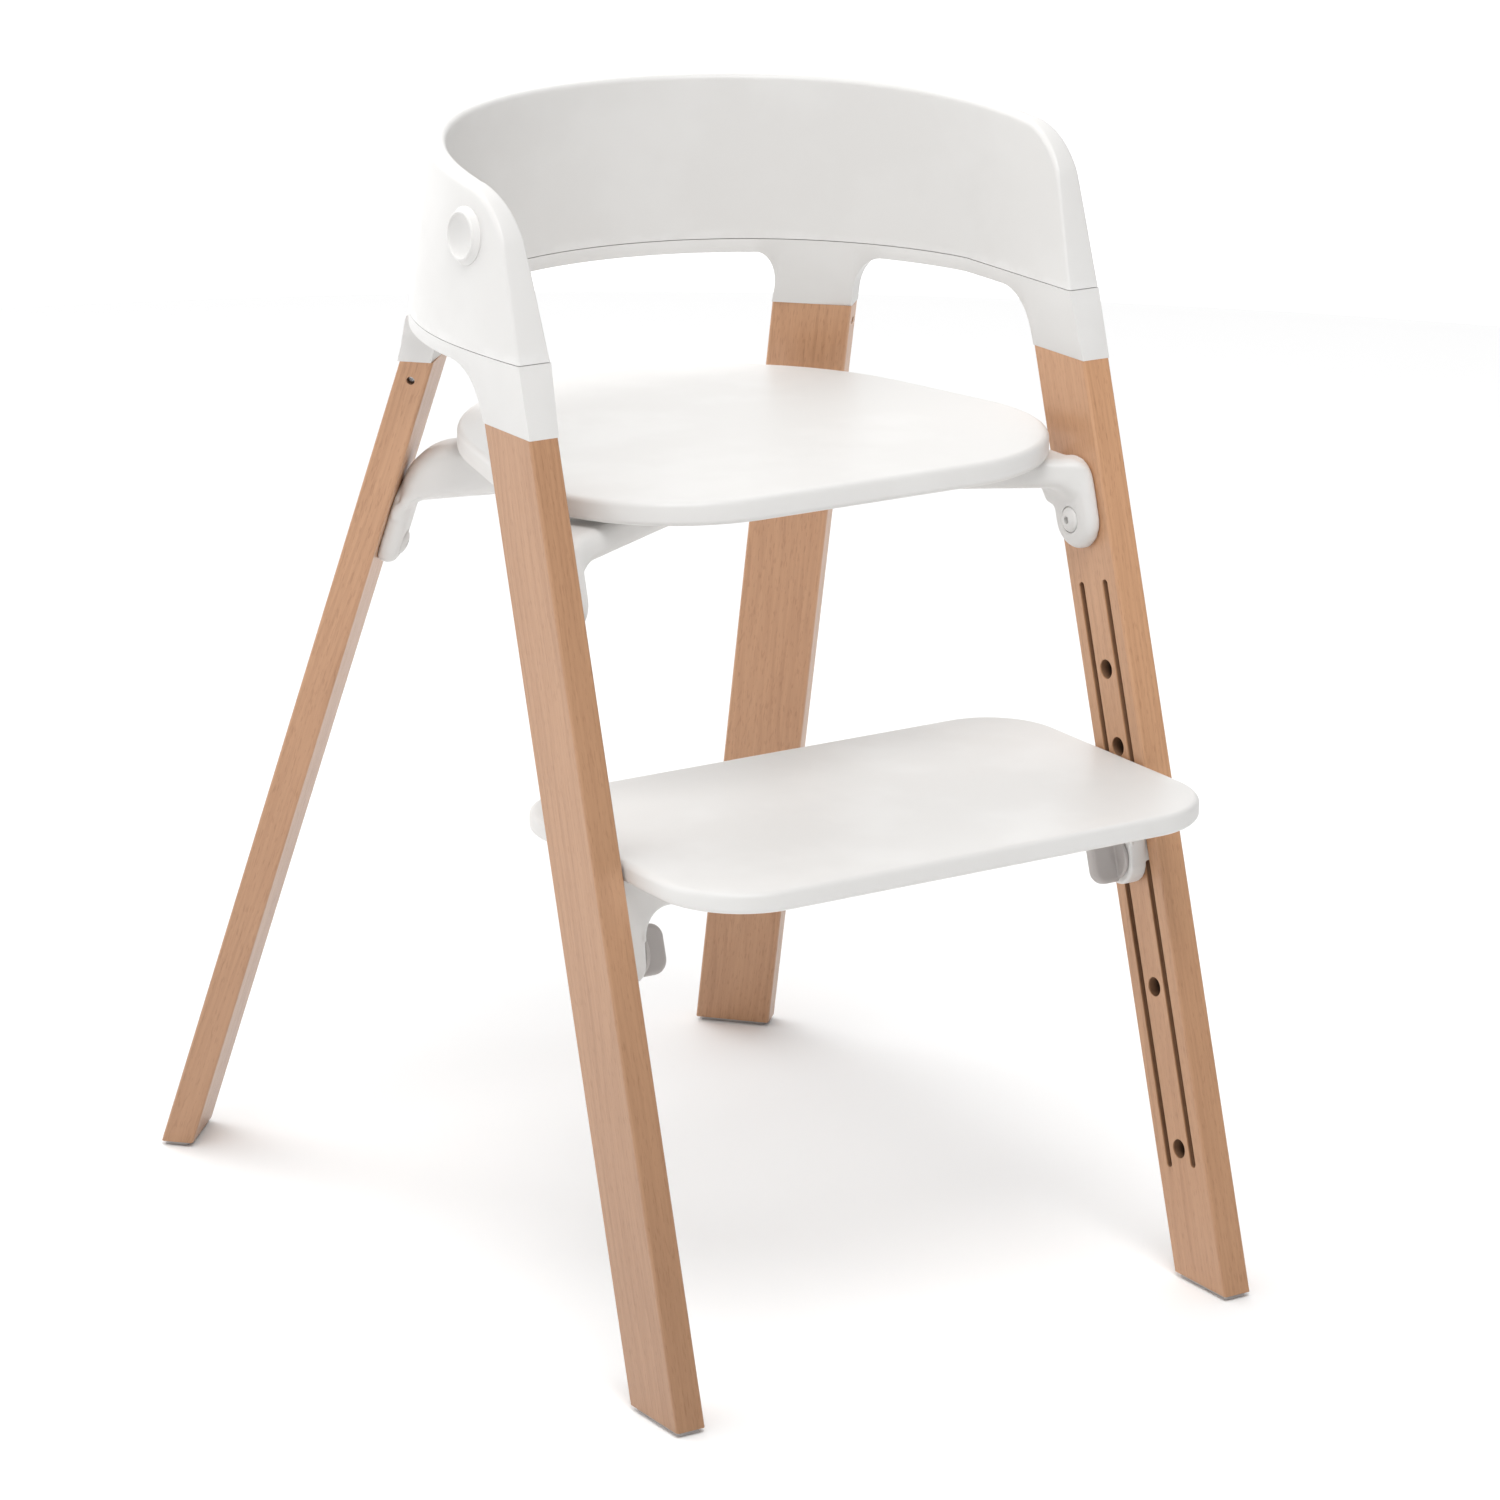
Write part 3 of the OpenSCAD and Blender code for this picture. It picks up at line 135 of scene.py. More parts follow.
floor_rim = []
for k in range(floor_sides):
    turned = 2 * pi * k / floor_sides
    floor_rim.append((floor_reach * cos(turned), floor_reach * sin(turned), 0))
floor_mesh = bpy.data.meshes.new("studio_floor")
floor_mesh.from_pydata(floor_rim, [], [tuple(range(floor_sides))])
studio_floor = bpy.data.objects.new("studio_floor", floor_mesh)
bpy.context.scene.collection.objects.link(studio_floor)
floor_paper = bpy.data.materials.new("floor_paper")
floor_paper.use_nodes = True
paper = floor_paper.node_tree.nodes["Principled BSDF"]
paper.inputs["Base Color"].default_value = (floor_white, floor_white, floor_white, 1)
paper.inputs["Roughness"].default_value = 0.9
floor_mesh.materials.append(floor_paper)

# Legs
# Four solid beech boards with a clear satin lacquer. The front pair leans back and carries two
# grooves and five locking holes on each inner face; the rear pair is turned 45 degrees in plan.
front_foot = (0.202, -0.2226 + footprint_shift)
front_lean, front_splay = 16.9, 0.25
front_leg_t, front_leg_w, front_leg_top = 0.020, 0.051, 0.567
rear_foot = (0.2183, 0.3562 + footprint_shift)
rear_turn, rear_lean, rear_rake = 44.7, 18.9, 8.9
rear_leg_t, rear_leg_w, rear_leg_top = 0.0205, 0.052, 0.5655
rear_tilt = degrees(atan(tan(radians(rear_lean)) * cos(radians(rear_rake))))


def shader_group(name, inputs):
    """An empty shader group with its inputs and outputs. An input of None is a vector, three numbers
    are a colour and one number is a plain value. It gives a colour, a roughness and a height."""
    tree = bpy.data.node_groups.new(name, "ShaderNodeTree")
    for label, value in inputs.items():
        kind = "Vector" if value is None else "Color" if isinstance(value, tuple) else "Float"
        socket = tree.interface.new_socket(label, in_out="INPUT", socket_type="NodeSocket" + kind)
        if kind == "Color":
            socket.default_value = (*value, 1)
        elif kind == "Float":
            socket.default_value = value
    for label, kind in (("Color", "Color"), ("Roughness", "Float"), ("Height", "Float")):
        tree.interface.new_socket(label, in_out="OUTPUT", socket_type="NodeSocket" + kind)
    return tree, tree.nodes.new("NodeGroupInput").outputs, tree.nodes.new("NodeGroupOutput").inputs


def noise_node(tree, vector, scale, detail=2.0, rough=0.5):
    node = tree.nodes.new("ShaderNodeTexNoise")
    node.inputs["Scale"].default_value = scale
    node.inputs["Detail"].default_value = detail
    node.inputs["Roughness"].default_value = rough
    tree.links.new(vector, node.inputs["Vector"])
    return node.outputs["Fac"]


def stretch_node(tree, vector, scale, shift=(0, 0, 0)):
    node = tree.nodes.new("ShaderNodeMapping")
    node.inputs["Scale"].default_value = scale
    node.inputs["Location"].default_value = shift
    tree.links.new(vector, node.inputs["Vector"])
    return node.outputs["Vector"]


def range_node(tree, value, low, high, to_low, to_high, smooth=True):
    node = tree.nodes.new("ShaderNodeMapRange")
    node.interpolation_type = "SMOOTHSTEP" if smooth else "LINEAR"
    tree.links.new(value, node.inputs["Value"])
    for label, number in (("From Min", low), ("From Max", high), ("To Min", to_low), ("To Max", to_high)):
        node.inputs[label].default_value = number
    return node.outputs["Result"]


def mix_colour(tree, factor, a, b, blend="MIX"):
    node = tree.nodes.new("ShaderNodeMix")
    node.data_type = "RGBA"
    node.blend_type = blend
    for socket, value in ((node.inputs[0], factor), (node.inputs[6], a), (node.inputs[7], b)):
        if isinstance(value, (int, float)):
            socket.default_value = value
        elif isinstance(value, tuple):
            socket.default_value = (*value, 1.0)
        else:
            tree.links.new(value, socket)
    return node.outputs[2]


# Beech seen close: faint growth rings cut lengthways, fine streaks and short dark flecks. Edge is 1
# on the board's long edges, where the lacquer is rubbed. The grooves-and-holes mask is 1 deep in
# grooves and holes, where painted shade darkens the wood and the lacquer is rougher, and the floor
# mask is 1 at the floor, where painted shade darkens the boards towards their foot.
pith_lean, ring_wander, rub_tint = 0.035, 0.022, (1.12, 1.14, 1.17)
ring_share, streak_share, cloud_share, fleck_share = 0.22, 0.24, 0.24, 0.34
# The last two set how strong the painted shade is in grooves and holes and towards the floor.
rub_share, hollow_shade_strength, foot_shade_strength = 0.22, 0.90, 0.17
beech_grain, given, result = shader_group("beech_grain", {
    "Vector": None, "Light": (0.60, 0.36, 0.215), "Dark": (0.43, 0.235, 0.125), "Pith Offset": 0.07,
    "Ring Spacing": 0.0036, "Edge": 0.0, "Shaded Hollow": 0.0, "Foot Shade": 0.0})
t = beech_grain
grain_at = given["Vector"]
along = stretch_node(t, grain_at, (1.0, 1.0, 0.10))
wander = noise_node(t, stretch_node(t, grain_at, (1.0, 1.0, 0.35)), 9.0)
grain_axes = t.nodes.new("ShaderNodeSeparateXYZ")
t.links.new(grain_at, grain_axes.inputs[0])
from_pith_x = added(t, grain_axes.outputs["X"], given["Pith Offset"])
from_pith_y = added(t, grain_axes.outputs["Y"], times(t, grain_axes.outputs["Z"], pith_lean))
pith_r = added(t, times(t, from_pith_x, from_pith_x), times(t, from_pith_y, from_pith_y))
pith_r = math_node(t, "SQRT", pith_r)
bent_r = added(t, pith_r, times(t, less(t, wander, 0.5), ring_wander))
ring_phase = math_node(t, "FRACT", math_node(t, "DIVIDE", bent_r, given["Ring Spacing"]))
ring_rise = range_node(t, ring_phase, 0.30, 0.97, 0.0, 1.0)
ring = times(t, ring_rise, range_node(t, ring_phase, 0.97, 1.0, 1.0, 0.0))
ring_change = range_node(t, noise_node(t, along, 60.0, 1.0), 0.35, 0.65, 0.15, 1.0)
streak = noise_node(t, stretch_node(t, grain_at, (1, 1, 0.03)), 520.0, 3.0, 0.6)
streak = range_node(t, streak, 0.35, 0.68, 0.0, 1.0)
cloud = range_node(t, noise_node(t, along, 22.0), 0.3, 0.7, 0.0, 1.0)
fleck = noise_node(t, stretch_node(t, grain_at, (1, 1, 0.13)), 1100.0, 1.0, 0.4)
fleck = range_node(t, fleck, 0.58, 0.70, 0.0, 1.0)
shade = added(t, times(t, times(t, ring, ring_change), ring_share), times(t, streak, streak_share))
shade = added(t, shade, times(t, cloud, cloud_share))
shade = added(t, shade, times(t, fleck, fleck_share), clamp=True)
board_colour = mix_colour(t, shade, given["Light"], given["Dark"])
rub_patch = range_node(t, noise_node(t, along, 90.0, 2.0, 0.6), 0.42, 0.62, 0.0, rub_share)
rubbed_wood = times(t, given["Edge"], rub_patch)
rubbed_colour = mix_colour(t, 1.0, given["Light"], rub_tint, "MULTIPLY")
board_colour = mix_colour(t, rubbed_wood, board_colour, rubbed_colour)
# Painted shade: the wood is darkened deep in grooves and holes and towards the floor.
painted_shade = less(t, 1.0, times(t, given["Shaded Hollow"], hollow_shade_strength))
painted_shade = times(t, painted_shade, less(t, 1.0, times(t, given["Foot Shade"], foot_shade_strength)))
painted_shade_grey = t.nodes.new("ShaderNodeCombineColor")
for label in ("Red", "Green", "Blue"):
    t.links.new(painted_shade, painted_shade_grey.inputs[label])
t.links.new(mix_colour(t, 1.0, board_colour, painted_shade_grey.outputs["Color"], "MULTIPLY"), result["Color"])
lacquer_rough = added(t, range_node(t, shade, 0.0, 1.0, 0.36, 0.48, False), times(t, given["Shaded Hollow"], 0.3))
t.links.new(added(t, lacquer_rough, times(t, rubbed_wood, 0.25)), result["Roughness"])
open_grain = added(t, times(t, streak, 0.6), times(t, fleck, 0.4))
t.links.new(times(t, open_grain, -1.0), result["Height"])


def skin_material(name, group, settings, relief, depth):
    """A material whose colour, roughness and fine relief come from a shader group, with the group's
    node and the bump node."""
    material = bpy.data.materials.new(name)
    material.use_nodes = True
    tree = material.node_tree
    bsdf = tree.nodes["Principled BSDF"]
    skin = tree.nodes.new("ShaderNodeGroup")
    skin.node_tree = group
    for label, value in settings.items():
        skin.inputs[label].default_value = value
    tree.links.new(skin.outputs["Color"], bsdf.inputs["Base Color"])
    tree.links.new(skin.outputs["Roughness"], bsdf.inputs["Roughness"])
    bump = tree.nodes.new("ShaderNodeBump")
    bump.inputs["Strength"].default_value = relief
    bump.inputs["Distance"].default_value = depth
    tree.links.new(skin.outputs["Height"], bump.inputs["Height"])
    tree.links.new(bump.outputs["Normal"], bsdf.inputs["Normal"])
    return material, skin, bump


# Depths below the board's faces, from deep to shallow, where its masks change
rub_band, hollow_skin, hollow_deep = (-0.0020, -0.0006), (-0.0014, -0.0003), (-0.0090, -0.0032)
# The first sets how high the painted shade reaches up the boards from the floor.
foot_shade_height, lacquer_coat, lacquer_gloss = 0.50, 0.25, 0.25
beech_light, beech_dark = (0.520, 0.292, 0.164), (0.350, 0.175, 0.088)


def lacquered_beech(name, place, turn, shift, half_x, half_y, tone):
    """Beech whose grain runs along the board that stands at place and is turned by turn. A tone
    above 1 is a paler board."""
    colours = {"Light": (*(channel * tone for channel in beech_light), 1),
               "Dark": (*(channel * tone for channel in beech_dark), 1)}
    material, grain, bump = skin_material(name, beech_grain, colours, 0.25, 0.0002)
    tree = material.node_tree
    coords = tree.nodes.new("ShaderNodeTexCoord")
    board = tree.nodes.new("ShaderNodeMapping")
    board.vector_type = "TEXTURE"
    board.inputs["Location"].default_value = place
    board.inputs["Rotation"].default_value = turn
    tree.links.new(coords.outputs["Object"], board.inputs["Vector"])
    tree.links.new(stretch_node(tree, board.outputs["Vector"], (1, 1, 1), shift), grain.inputs["Vector"])
    axes = tree.nodes.new("ShaderNodeSeparateXYZ")
    tree.links.new(board.outputs["Vector"], axes.inputs[0])
    past_x = less(tree, math_node(tree, "ABSOLUTE", axes.outputs["X"]), half_x)
    past_y = less(tree, math_node(tree, "ABSOLUTE", axes.outputs["Y"]), half_y)
    edge = range_node(tree, math_node(tree, "MINIMUM", past_x, past_y), *rub_band, 0.0, 1.0)
    depth_in = math_node(tree, "MAXIMUM", past_x, past_y)
    # Painted shade in grooves and holes, darker the deeper the wood lies below the board's faces.
    hollow = added(tree, range_node(tree, depth_in, *hollow_skin, 0.55, 0.0),
                   range_node(tree, depth_in, *hollow_deep, 0.45, 0.0))
    # Painted shade: the boards get darker towards the floor.
    foot = range_node(tree, axes.outputs["Z"], 0.0, foot_shade_height, 1.0, 0.0)
    for label, mask in (("Edge", edge), ("Shaded Hollow", hollow), ("Foot Shade", foot)):
        tree.links.new(mask, grain.inputs[label])
    flat_faces = tree.nodes.new("ShaderNodeNewGeometry")
    tree.links.new(flat_faces.outputs["True Normal"], bump.inputs["Normal"])
    bsdf = tree.nodes["Principled BSDF"]
    tree.links.new(bump.outputs["Normal"], bsdf.inputs["Coat Normal"])
    bsdf.inputs["Coat Weight"].default_value = lacquer_coat
    bsdf.inputs["Coat Roughness"].default_value = lacquer_gloss
    return material


def finish_node(name, material):
    """Gives a CAD piece its material in every slot."""
    mesh = nodes[name].data
    mesh.materials.clear()
    mesh.materials.append(material)


front_boards = [(-1, "left", (0.0, 0.013, 0.31), 0.97), (1, "right", (0.0, -0.021, 0.83), 1.20)]
rear_boards = [(-1, "left", (0.0, 0.017, 1.27), 1.10), (1, "right", (0.0, 0.06, 1.91), 1.20)]
for side, label, shift, tone in front_boards:
    place = (side * front_foot[0], front_foot[1], 0)
    turn = (radians(-front_lean), radians(-side * front_splay), 0)
    finish_node("front_leg_" + label, lacquered_beech(
        "beech_front_" + label, place, turn, shift, front_leg_t / 2, front_leg_w / 2, tone))
for side, label, shift, tone in rear_boards:
    place = (side * rear_foot[0], rear_foot[1], 0)
    turn = Matrix.Rotation(radians(-rear_turn), 3, "Z") @ Matrix.Rotation(
        atan(tan(radians(rear_rake))), 3, "Y") @ Matrix.Rotation(radians(rear_tilt), 3, "X")
    if side < 0:
        flip = Matrix.Diagonal((-1, 1, 1))
        turn = flip @ turn @ flip
    finish_node("rear_leg_" + label, lacquered_beech(
        "beech_rear_" + label, place, tuple(turn.to_euler("XYZ")), shift, rear_leg_w / 2, rear_leg_t / 2,
        tone))

# White mouldings
# The hoop, seat, bracket and footrest are white plastic with a fine satin texture from the mould,
# a little glossier where hands and clothes rub them.
moulded_skin, given, result = shader_group("moulded_skin", {
    "Vector": None, "Tint": (0.8, 0.8, 0.79), "Worn": (0.84, 0.84, 0.83), "Rough": 0.42, "Polish": 0.08,
    "Edge": 0.5})
t = moulded_skin
touched = range_node(t, noise_node(t, given["Vector"], 14.0, 3.0, 0.55), 0.42, 0.66, 0.0, 0.5)
edge_patch = range_node(t, noise_node(t, given["Vector"], 55.0, 2.0, 0.6), 0.35, 0.60, 0.25, 1.0)
edge_wear = times(t, range_node(t, given["Edge"], 0.505, 0.56, 0.0, 1.0), edge_patch)
rubbed = math_node(t, "MAXIMUM", touched, edge_wear)
grit = noise_node(t, given["Vector"], 2600.0, 2.0, 0.6)
t.links.new(mix_colour(t, rubbed, given["Tint"], given["Worn"]), result["Color"])
skin_rough = added(t, given["Rough"], times(t, grit, 0.06))
t.links.new(less(t, skin_rough, times(t, rubbed, given["Polish"])), result["Roughness"])
t.links.new(times(t, grit, less(t, 1.0, times(t, edge_wear, 0.7))), result["Height"])
plastic_polish, plastic_relief = 0.12, 0.3


def worn_skin(name, group, settings, relief, depth):
    """A skin that lies in the object's own coordinates and knows where edges stand out."""
    material, skin, bump = skin_material(name, group, settings, relief, depth)
    tree = material.node_tree
    tree.links.new(tree.nodes.new("ShaderNodeTexCoord").outputs["Object"], skin.inputs["Vector"])
    tree.links.new(tree.nodes.new("ShaderNodeNewGeometry").outputs["Pointiness"], skin.inputs["Edge"])
    return material


def moulded_plastic(name, tint, worn, rough, grain_depth):
    settings = {"Tint": (*tint, 1), "Worn": (*worn, 1), "Rough": rough, "Polish": plastic_polish}
    return worn_skin(name, moulded_skin, settings, plastic_relief, grain_depth)


white_plastic = moulded_plastic("white_plastic", (0.710, 0.700, 0.685), (0.745, 0.738, 0.725), 0.42, 0.00004)


def mesh_object(name, mesh):
    """A shown object with this mesh, in the scene."""
    piece = bpy.data.objects.new(name, mesh)
    bpy.context.scene.collection.objects.link(piece)
    return piece


def shown(name, work):
    """A shown object made from a finished bmesh."""
    mesh = bpy.data.meshes.new(name)
    work.to_mesh(mesh)
    work.free()
    return mesh_object(name, mesh)


def dress(piece, body, material, replaced, sharp=38.0):
    """Smooth shading, one material, and the body and CAD nodes that the piece goes with."""
    piece.data.shade_smooth()
    piece.data.set_sharp_from_angle(angle=radians(sharp))
    piece.data.materials.clear()
    piece.data.materials.append(material)
    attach(piece, body)
    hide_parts(*replaced)
    return piece


# Backrest shell
# The upper half of the hoop: one thick white wall that is the back and both armrests. It leans in a
# little, gets thinner towards the rim, and its front ends turn down in round shoulders.
hoop_r = 0.2138
seam_z, seam_gap = 0.6093, 0.0005
wall_seam, inner_flat_x = 0.0208, 0.187
rim_a, rim_b, rim_shift = 0.2068, 0.2175, 0.015
wall_rim, wall_end = 0.0116, 0.0135
rim_back_z, rim_drop = 0.7165, 0.0098
shoulder_r, rim_edge_r, foot_edge_r = 0.051, 0.0036, 0.0020
arch_z, arch_curve_w, arch_straight_h = 0.6005, 0.020, 0.010
t_lean, t_splay = tan(radians(front_lean)), tan(radians(front_splay))
plan_front_y = -0.2226


def front_centre(z):
    return np.array([front_foot[0] - t_splay * z, t_lean * z + plan_front_y])


wide_dir = np.array([cos(radians(rear_turn)), -sin(radians(rear_turn))])
out_dir = np.array([sin(radians(rear_turn)), cos(radians(rear_turn))])
rear_run = tan(radians(rear_rake)) * wide_dir - tan(radians(rear_lean)) * out_dir


def rear_centre(z):
    return np.array([rear_foot[0], rear_foot[1] - footprint_shift]) + z * rear_run


front_half_w = front_leg_w / 2 / cos(radians(front_lean))
front_half_t = front_leg_t / 2 / cos(radians(front_splay))
rear_half_w = rear_leg_w / 2 / cos(radians(rear_rake))
rear_half_t = rear_leg_t / 2 / cos(radians(rear_lean))
end_x = front_centre(seam_z)[0] + front_half_t
end_y = front_centre(seam_z)[1] - front_half_w
end_angle = asin(end_y / hoop_r)
rim_back_y = rim_b - rim_shift


def mix(a, b, k):
    return a + (b - a) * k


def rim_z(y):
    return rim_back_z - rim_drop * (1 - y / rim_back_y) ** 2


side_rim_z = rim_z(0.0)
rim_end_y = end_y + t_lean * (side_rim_z - seam_z)
shoulder_z = side_rim_z - shoulder_r
shoulder_y = end_y + t_lean * (shoulder_z - seam_z) + shoulder_r / cos(radians(front_lean))


def wall_dir(a):
    return np.array([1.0, 0.0]) if a < 0 else np.array([cos(a), sin(a)])


def seam_out(a):
    if a < 0:
        return np.array([hoop_r - (hoop_r - end_x) * (sin(a) / sin(end_angle)) ** 2, hoop_r * sin(a)])
    return np.array([hoop_r * cos(a), hoop_r * sin(a)])


def seam_in(a):
    d = wall_dir(a)
    wall = wall_seam if a > radians(80) else max(wall_seam, (seam_out(a)[0] - inner_flat_x) / d[0])
    return seam_out(a) - wall * d


def rim_out(a):
    if a < 0:
        return np.array([rim_a, mix(-rim_shift, rim_end_y, sin(a) / sin(end_angle))])
    return np.array([rim_a * cos(a), rim_b * sin(a) - rim_shift])


def rim_in(a):
    wall = mix(wall_end, wall_rim, min(1.0, (a - end_angle) / radians(40)))
    return rim_out(a) - wall * wall_dir(a)


def shell_faces_at(a, f):
    """Outer and inner point of the shell at hoop angle a and height share f."""
    def both(b):
        z = mix(seam_z, rim_z(rim_out(b)[1]), f)
        return np.array([*mix(seam_out(b), rim_out(b), f), z]), np.array([*mix(seam_in(b), rim_in(b), f), z])
    if a <= pi / 2:
        return both(a)
    return tuple(np.array([-p[0], p[1], p[2]]) for p in both(pi - a))


def middle_at(surface, a, f):
    o, i = surface(a, f)
    return (o + i) / 2


def inward_step(surface, a, f, tangent, turn, size):
    """The step in (a, f) that goes size metres into the wall's face, square to the edge's tangent."""
    eps = 1e-4
    m = middle_at(surface, a, f)
    da = (middle_at(surface, a + eps, f) - middle_at(surface, a - eps, f)) / (2 * eps)
    df = (middle_at(surface, a, f + eps) - middle_at(surface, a, f - eps)) / (2 * eps)
    normal = np.cross(da, df)
    normal /= np.linalg.norm(normal)
    way = turn * np.cross(normal, tangent)
    way /= np.linalg.norm(way)
    step = np.linalg.lstsq(np.stack([da, df], 1), way * size, rcond=None)[0]
    return step


def rounded_rows(surface, edge, radii, turn, rounds=6):
    """Rows of outer and inner points that roll from the wall's edge line to its two faces.
    edge is a list of (a, f). The last row lies fully on the faces."""
    line = np.array([middle_at(surface, a, f) for a, f in edge])
    tangents = np.gradient(line, axis=0)
    tangents /= np.linalg.norm(tangents, axis=1)[:, None]
    rows = [[] for _ in range(rounds + 1)]
    last = []
    for (a, f), tangent, r in zip(edge, tangents, radii):
        da, df = inward_step(surface, a, f, tangent, turn, r)
        for k in range(rounds + 1):
            turned = pi / 2 * k / rounds
            share = 1 - cos(turned)
            o, i = surface(a + da * share, f + df * share)
            across = (o - i) / np.linalg.norm(o - i)
            tuck = r * (1 - sin(turned))
            rows[k].append((o - across * tuck, i + across * tuck))
        last.append((a + da, f + df))
    return rows, last


# The shell's edge line, from the foot of the right end, over the rim, to the foot of the left end
def shoulder_angle_for(turned):
    """Hoop angle and height share where the shoulder arc has turned this far from the end line."""
    y = shoulder_y - shoulder_r * cos(turned)
    z = shoulder_z + shoulder_r * sin(turned)
    low, high = end_angle, radians(25)
    for halving in range(50):
        a = (low + high) / 2
        top_y, top_z = rim_out(a)[1], rim_z(rim_out(a)[1])
        share = (z - seam_z) / (top_z - seam_z)
        if mix(seam_out(a)[1], top_y, share) < y:
            low = a
        else:
            high = a
    return a, share


end_rows, arc_rows, rim_cols = 10, 12, 100
start_turn = radians(front_lean)
arc = [shoulder_angle_for(mix(start_turn, pi / 2, k / (2 * arc_rows))) for k in range(2 * arc_rows + 1)]
arc_top_a = arc[-1][0]
left_side = [(end_angle, arc[0][1] * k / end_rows) for k in range(end_rows)] + arc[:arc_rows + 1]
top_side = arc[arc_rows:] + [(mix(arc_top_a, pi - arc_top_a, k / rim_cols), 1.0) for k in range(1, rim_cols)]
top_side += [(pi - a, f) for a, f in reversed(arc[arc_rows:])]
whole_edge = left_side[:-1] + top_side + [(pi - a, f) for a, f in reversed(left_side[:-1])]


def coons_grid(bottom, left, right, top):
    """Fills a four-sided patch of (a, f) from its four sides."""
    n, m = len(bottom), len(left)
    b, l, r, u = (np.array(s) for s in (bottom, left, right, top))
    s = np.linspace(0, 1, n)[:, None, None]
    v = np.linspace(0, 1, m)[None, :, None]
    grid = (1 - v) * b[:, None] + v * u[:, None] + (1 - s) * l[None] + s * r[None]
    grid -= (1 - s) * (1 - v) * b[0] + s * (1 - v) * b[-1] + (1 - s) * v * u[0] + s * v * u[-1]
    return grid


end_top = arc[0][1]
edge_radii = [mix(foot_edge_r, rim_edge_r, max(0.0, (f - end_top) / (1.0 - end_top))) for a, f in whole_edge]
rows, inner_edge = rounded_rows(shell_faces_at, whole_edge, edge_radii, -1)
side_n, top_n = len(left_side), len(top_side)
edge_left = inner_edge[:side_n]
edge_top = inner_edge[side_n - 1:side_n - 1 + top_n]
edge_right = inner_edge[side_n - 1 + top_n - 1:][::-1]
# Columns crowd together at the top corners, so the foot's columns follow them
top_a = np.array([a for a, f in edge_top])
foot_shares = (top_a - top_a[0]) / (top_a[-1] - top_a[0])
edge_bottom = [(mix(edge_left[0][0], edge_right[0][0], share), 0.0) for share in foot_shares]
patch = coons_grid(edge_bottom, edge_left, edge_right, edge_top)
points, faces = [], []


def add_point(p):
    points.append(p)
    return len(points) - 1


outer_ids, inner_ids = {}, {}
for i in range(top_n):
    for j in range(side_n):
        o, n = shell_faces_at(*patch[i, j])
        outer_ids[i, j], inner_ids[i, j] = add_point(o), add_point(n)
loop = [(0, j) for j in range(side_n)] + [(i, side_n - 1) for i in range(1, top_n)]
loop += [(top_n - 1, j) for j in range(side_n - 2, -1, -1)]
ring_out, ring_in = [], []
for row in rows[:-1]:
    ring_out.append([add_point(o) for o, n in row])
    ring_in.append([add_point(n) for o, n in row])
ring_out.append([outer_ids[k] for k in loop])
ring_in.append([inner_ids[k] for k in loop])
for i in range(top_n - 1):
    for j in range(side_n - 1):
        faces.append((outer_ids[i, j], outer_ids[i + 1, j], outer_ids[i + 1, j + 1], outer_ids[i, j + 1]))
        faces.append((inner_ids[i, j], inner_ids[i, j + 1], inner_ids[i + 1, j + 1], inner_ids[i + 1, j]))
for k in range(len(loop) - 1):
    for a, b in zip(ring_out, ring_out[1:]):
        faces.append((a[k], b[k], b[k + 1], a[k + 1]))
    for a, b in zip(ring_in, ring_in[1:]):
        faces.append((a[k], a[k + 1], b[k + 1], b[k]))
    faces.append((ring_out[0][k], ring_out[0][k + 1], ring_in[0][k + 1], ring_in[0][k]))
# The foot of the wall, flat along the seam and lifted by half the seam's gap
for p in points:
    if p[2] < seam_z + 1e-6:
        p[2] = seam_z + seam_gap / 2


def foot_line(rings, ids):
    """The points along the foot of one face, from the right end round to the left end."""
    line = [ring[0] for ring in rings] + [ids[i, 0] for i in range(1, top_n - 1)]
    return line + [ring[-1] for ring in reversed(rings)]


foot_out, foot_in = foot_line(ring_out, outer_ids), foot_line(ring_in, inner_ids)
for k in range(len(foot_out) - 1):
    faces.append((foot_out[k], foot_in[k], foot_in[k + 1], foot_out[k + 1]))
shell_mesh = bpy.data.meshes.new("backrest_shell_moulding")
shell_mesh.from_pydata([(float(x), float(y + footprint_shift), float(z)) for x, y, z in points], [], faces)
shell_mesh.validate()
shell_mesh.update()
backrest = mesh_object("backrest_shell_moulding", shell_mesh)
dress(backrest, "frame", white_plastic, ["backrest_shell"])

# Upper frame
# The lower half of the hoop, moulded with four sockets that sit on the legs' cut tops. Between them
# its underside rises in arches. Tongues inside the sockets are glued and screwed into the legs.
frame_top_z = seam_z - seam_gap / 2
front_socket_end = asin((front_centre(seam_z)[1] + front_half_w) / hoop_r)
rear_socket_mid = atan2(rear_centre(seam_z)[1], rear_centre(seam_z)[0])
rear_socket_half = asin(rear_half_w / hoop_r)
rear_socket_low, rear_socket_high = rear_socket_mid - rear_socket_half, rear_socket_mid + rear_socket_half
curve_angle = arch_curve_w / hoop_r
socket_steps, curve_steps, arch_steps = 14, 12, 10
frame_roll, foot_share, side_share, end_share, seam_share = 0.0028, 0.28, 0.7, 0.72, 0.12


def front_socket_point(u, side):
    return front_centre(front_leg_top) + np.array([side * front_half_t, u * front_half_w])


def rear_socket_point(u, side):
    return rear_centre(rear_leg_top) + u * rear_half_w * wide_dir + side * rear_half_t * out_dir


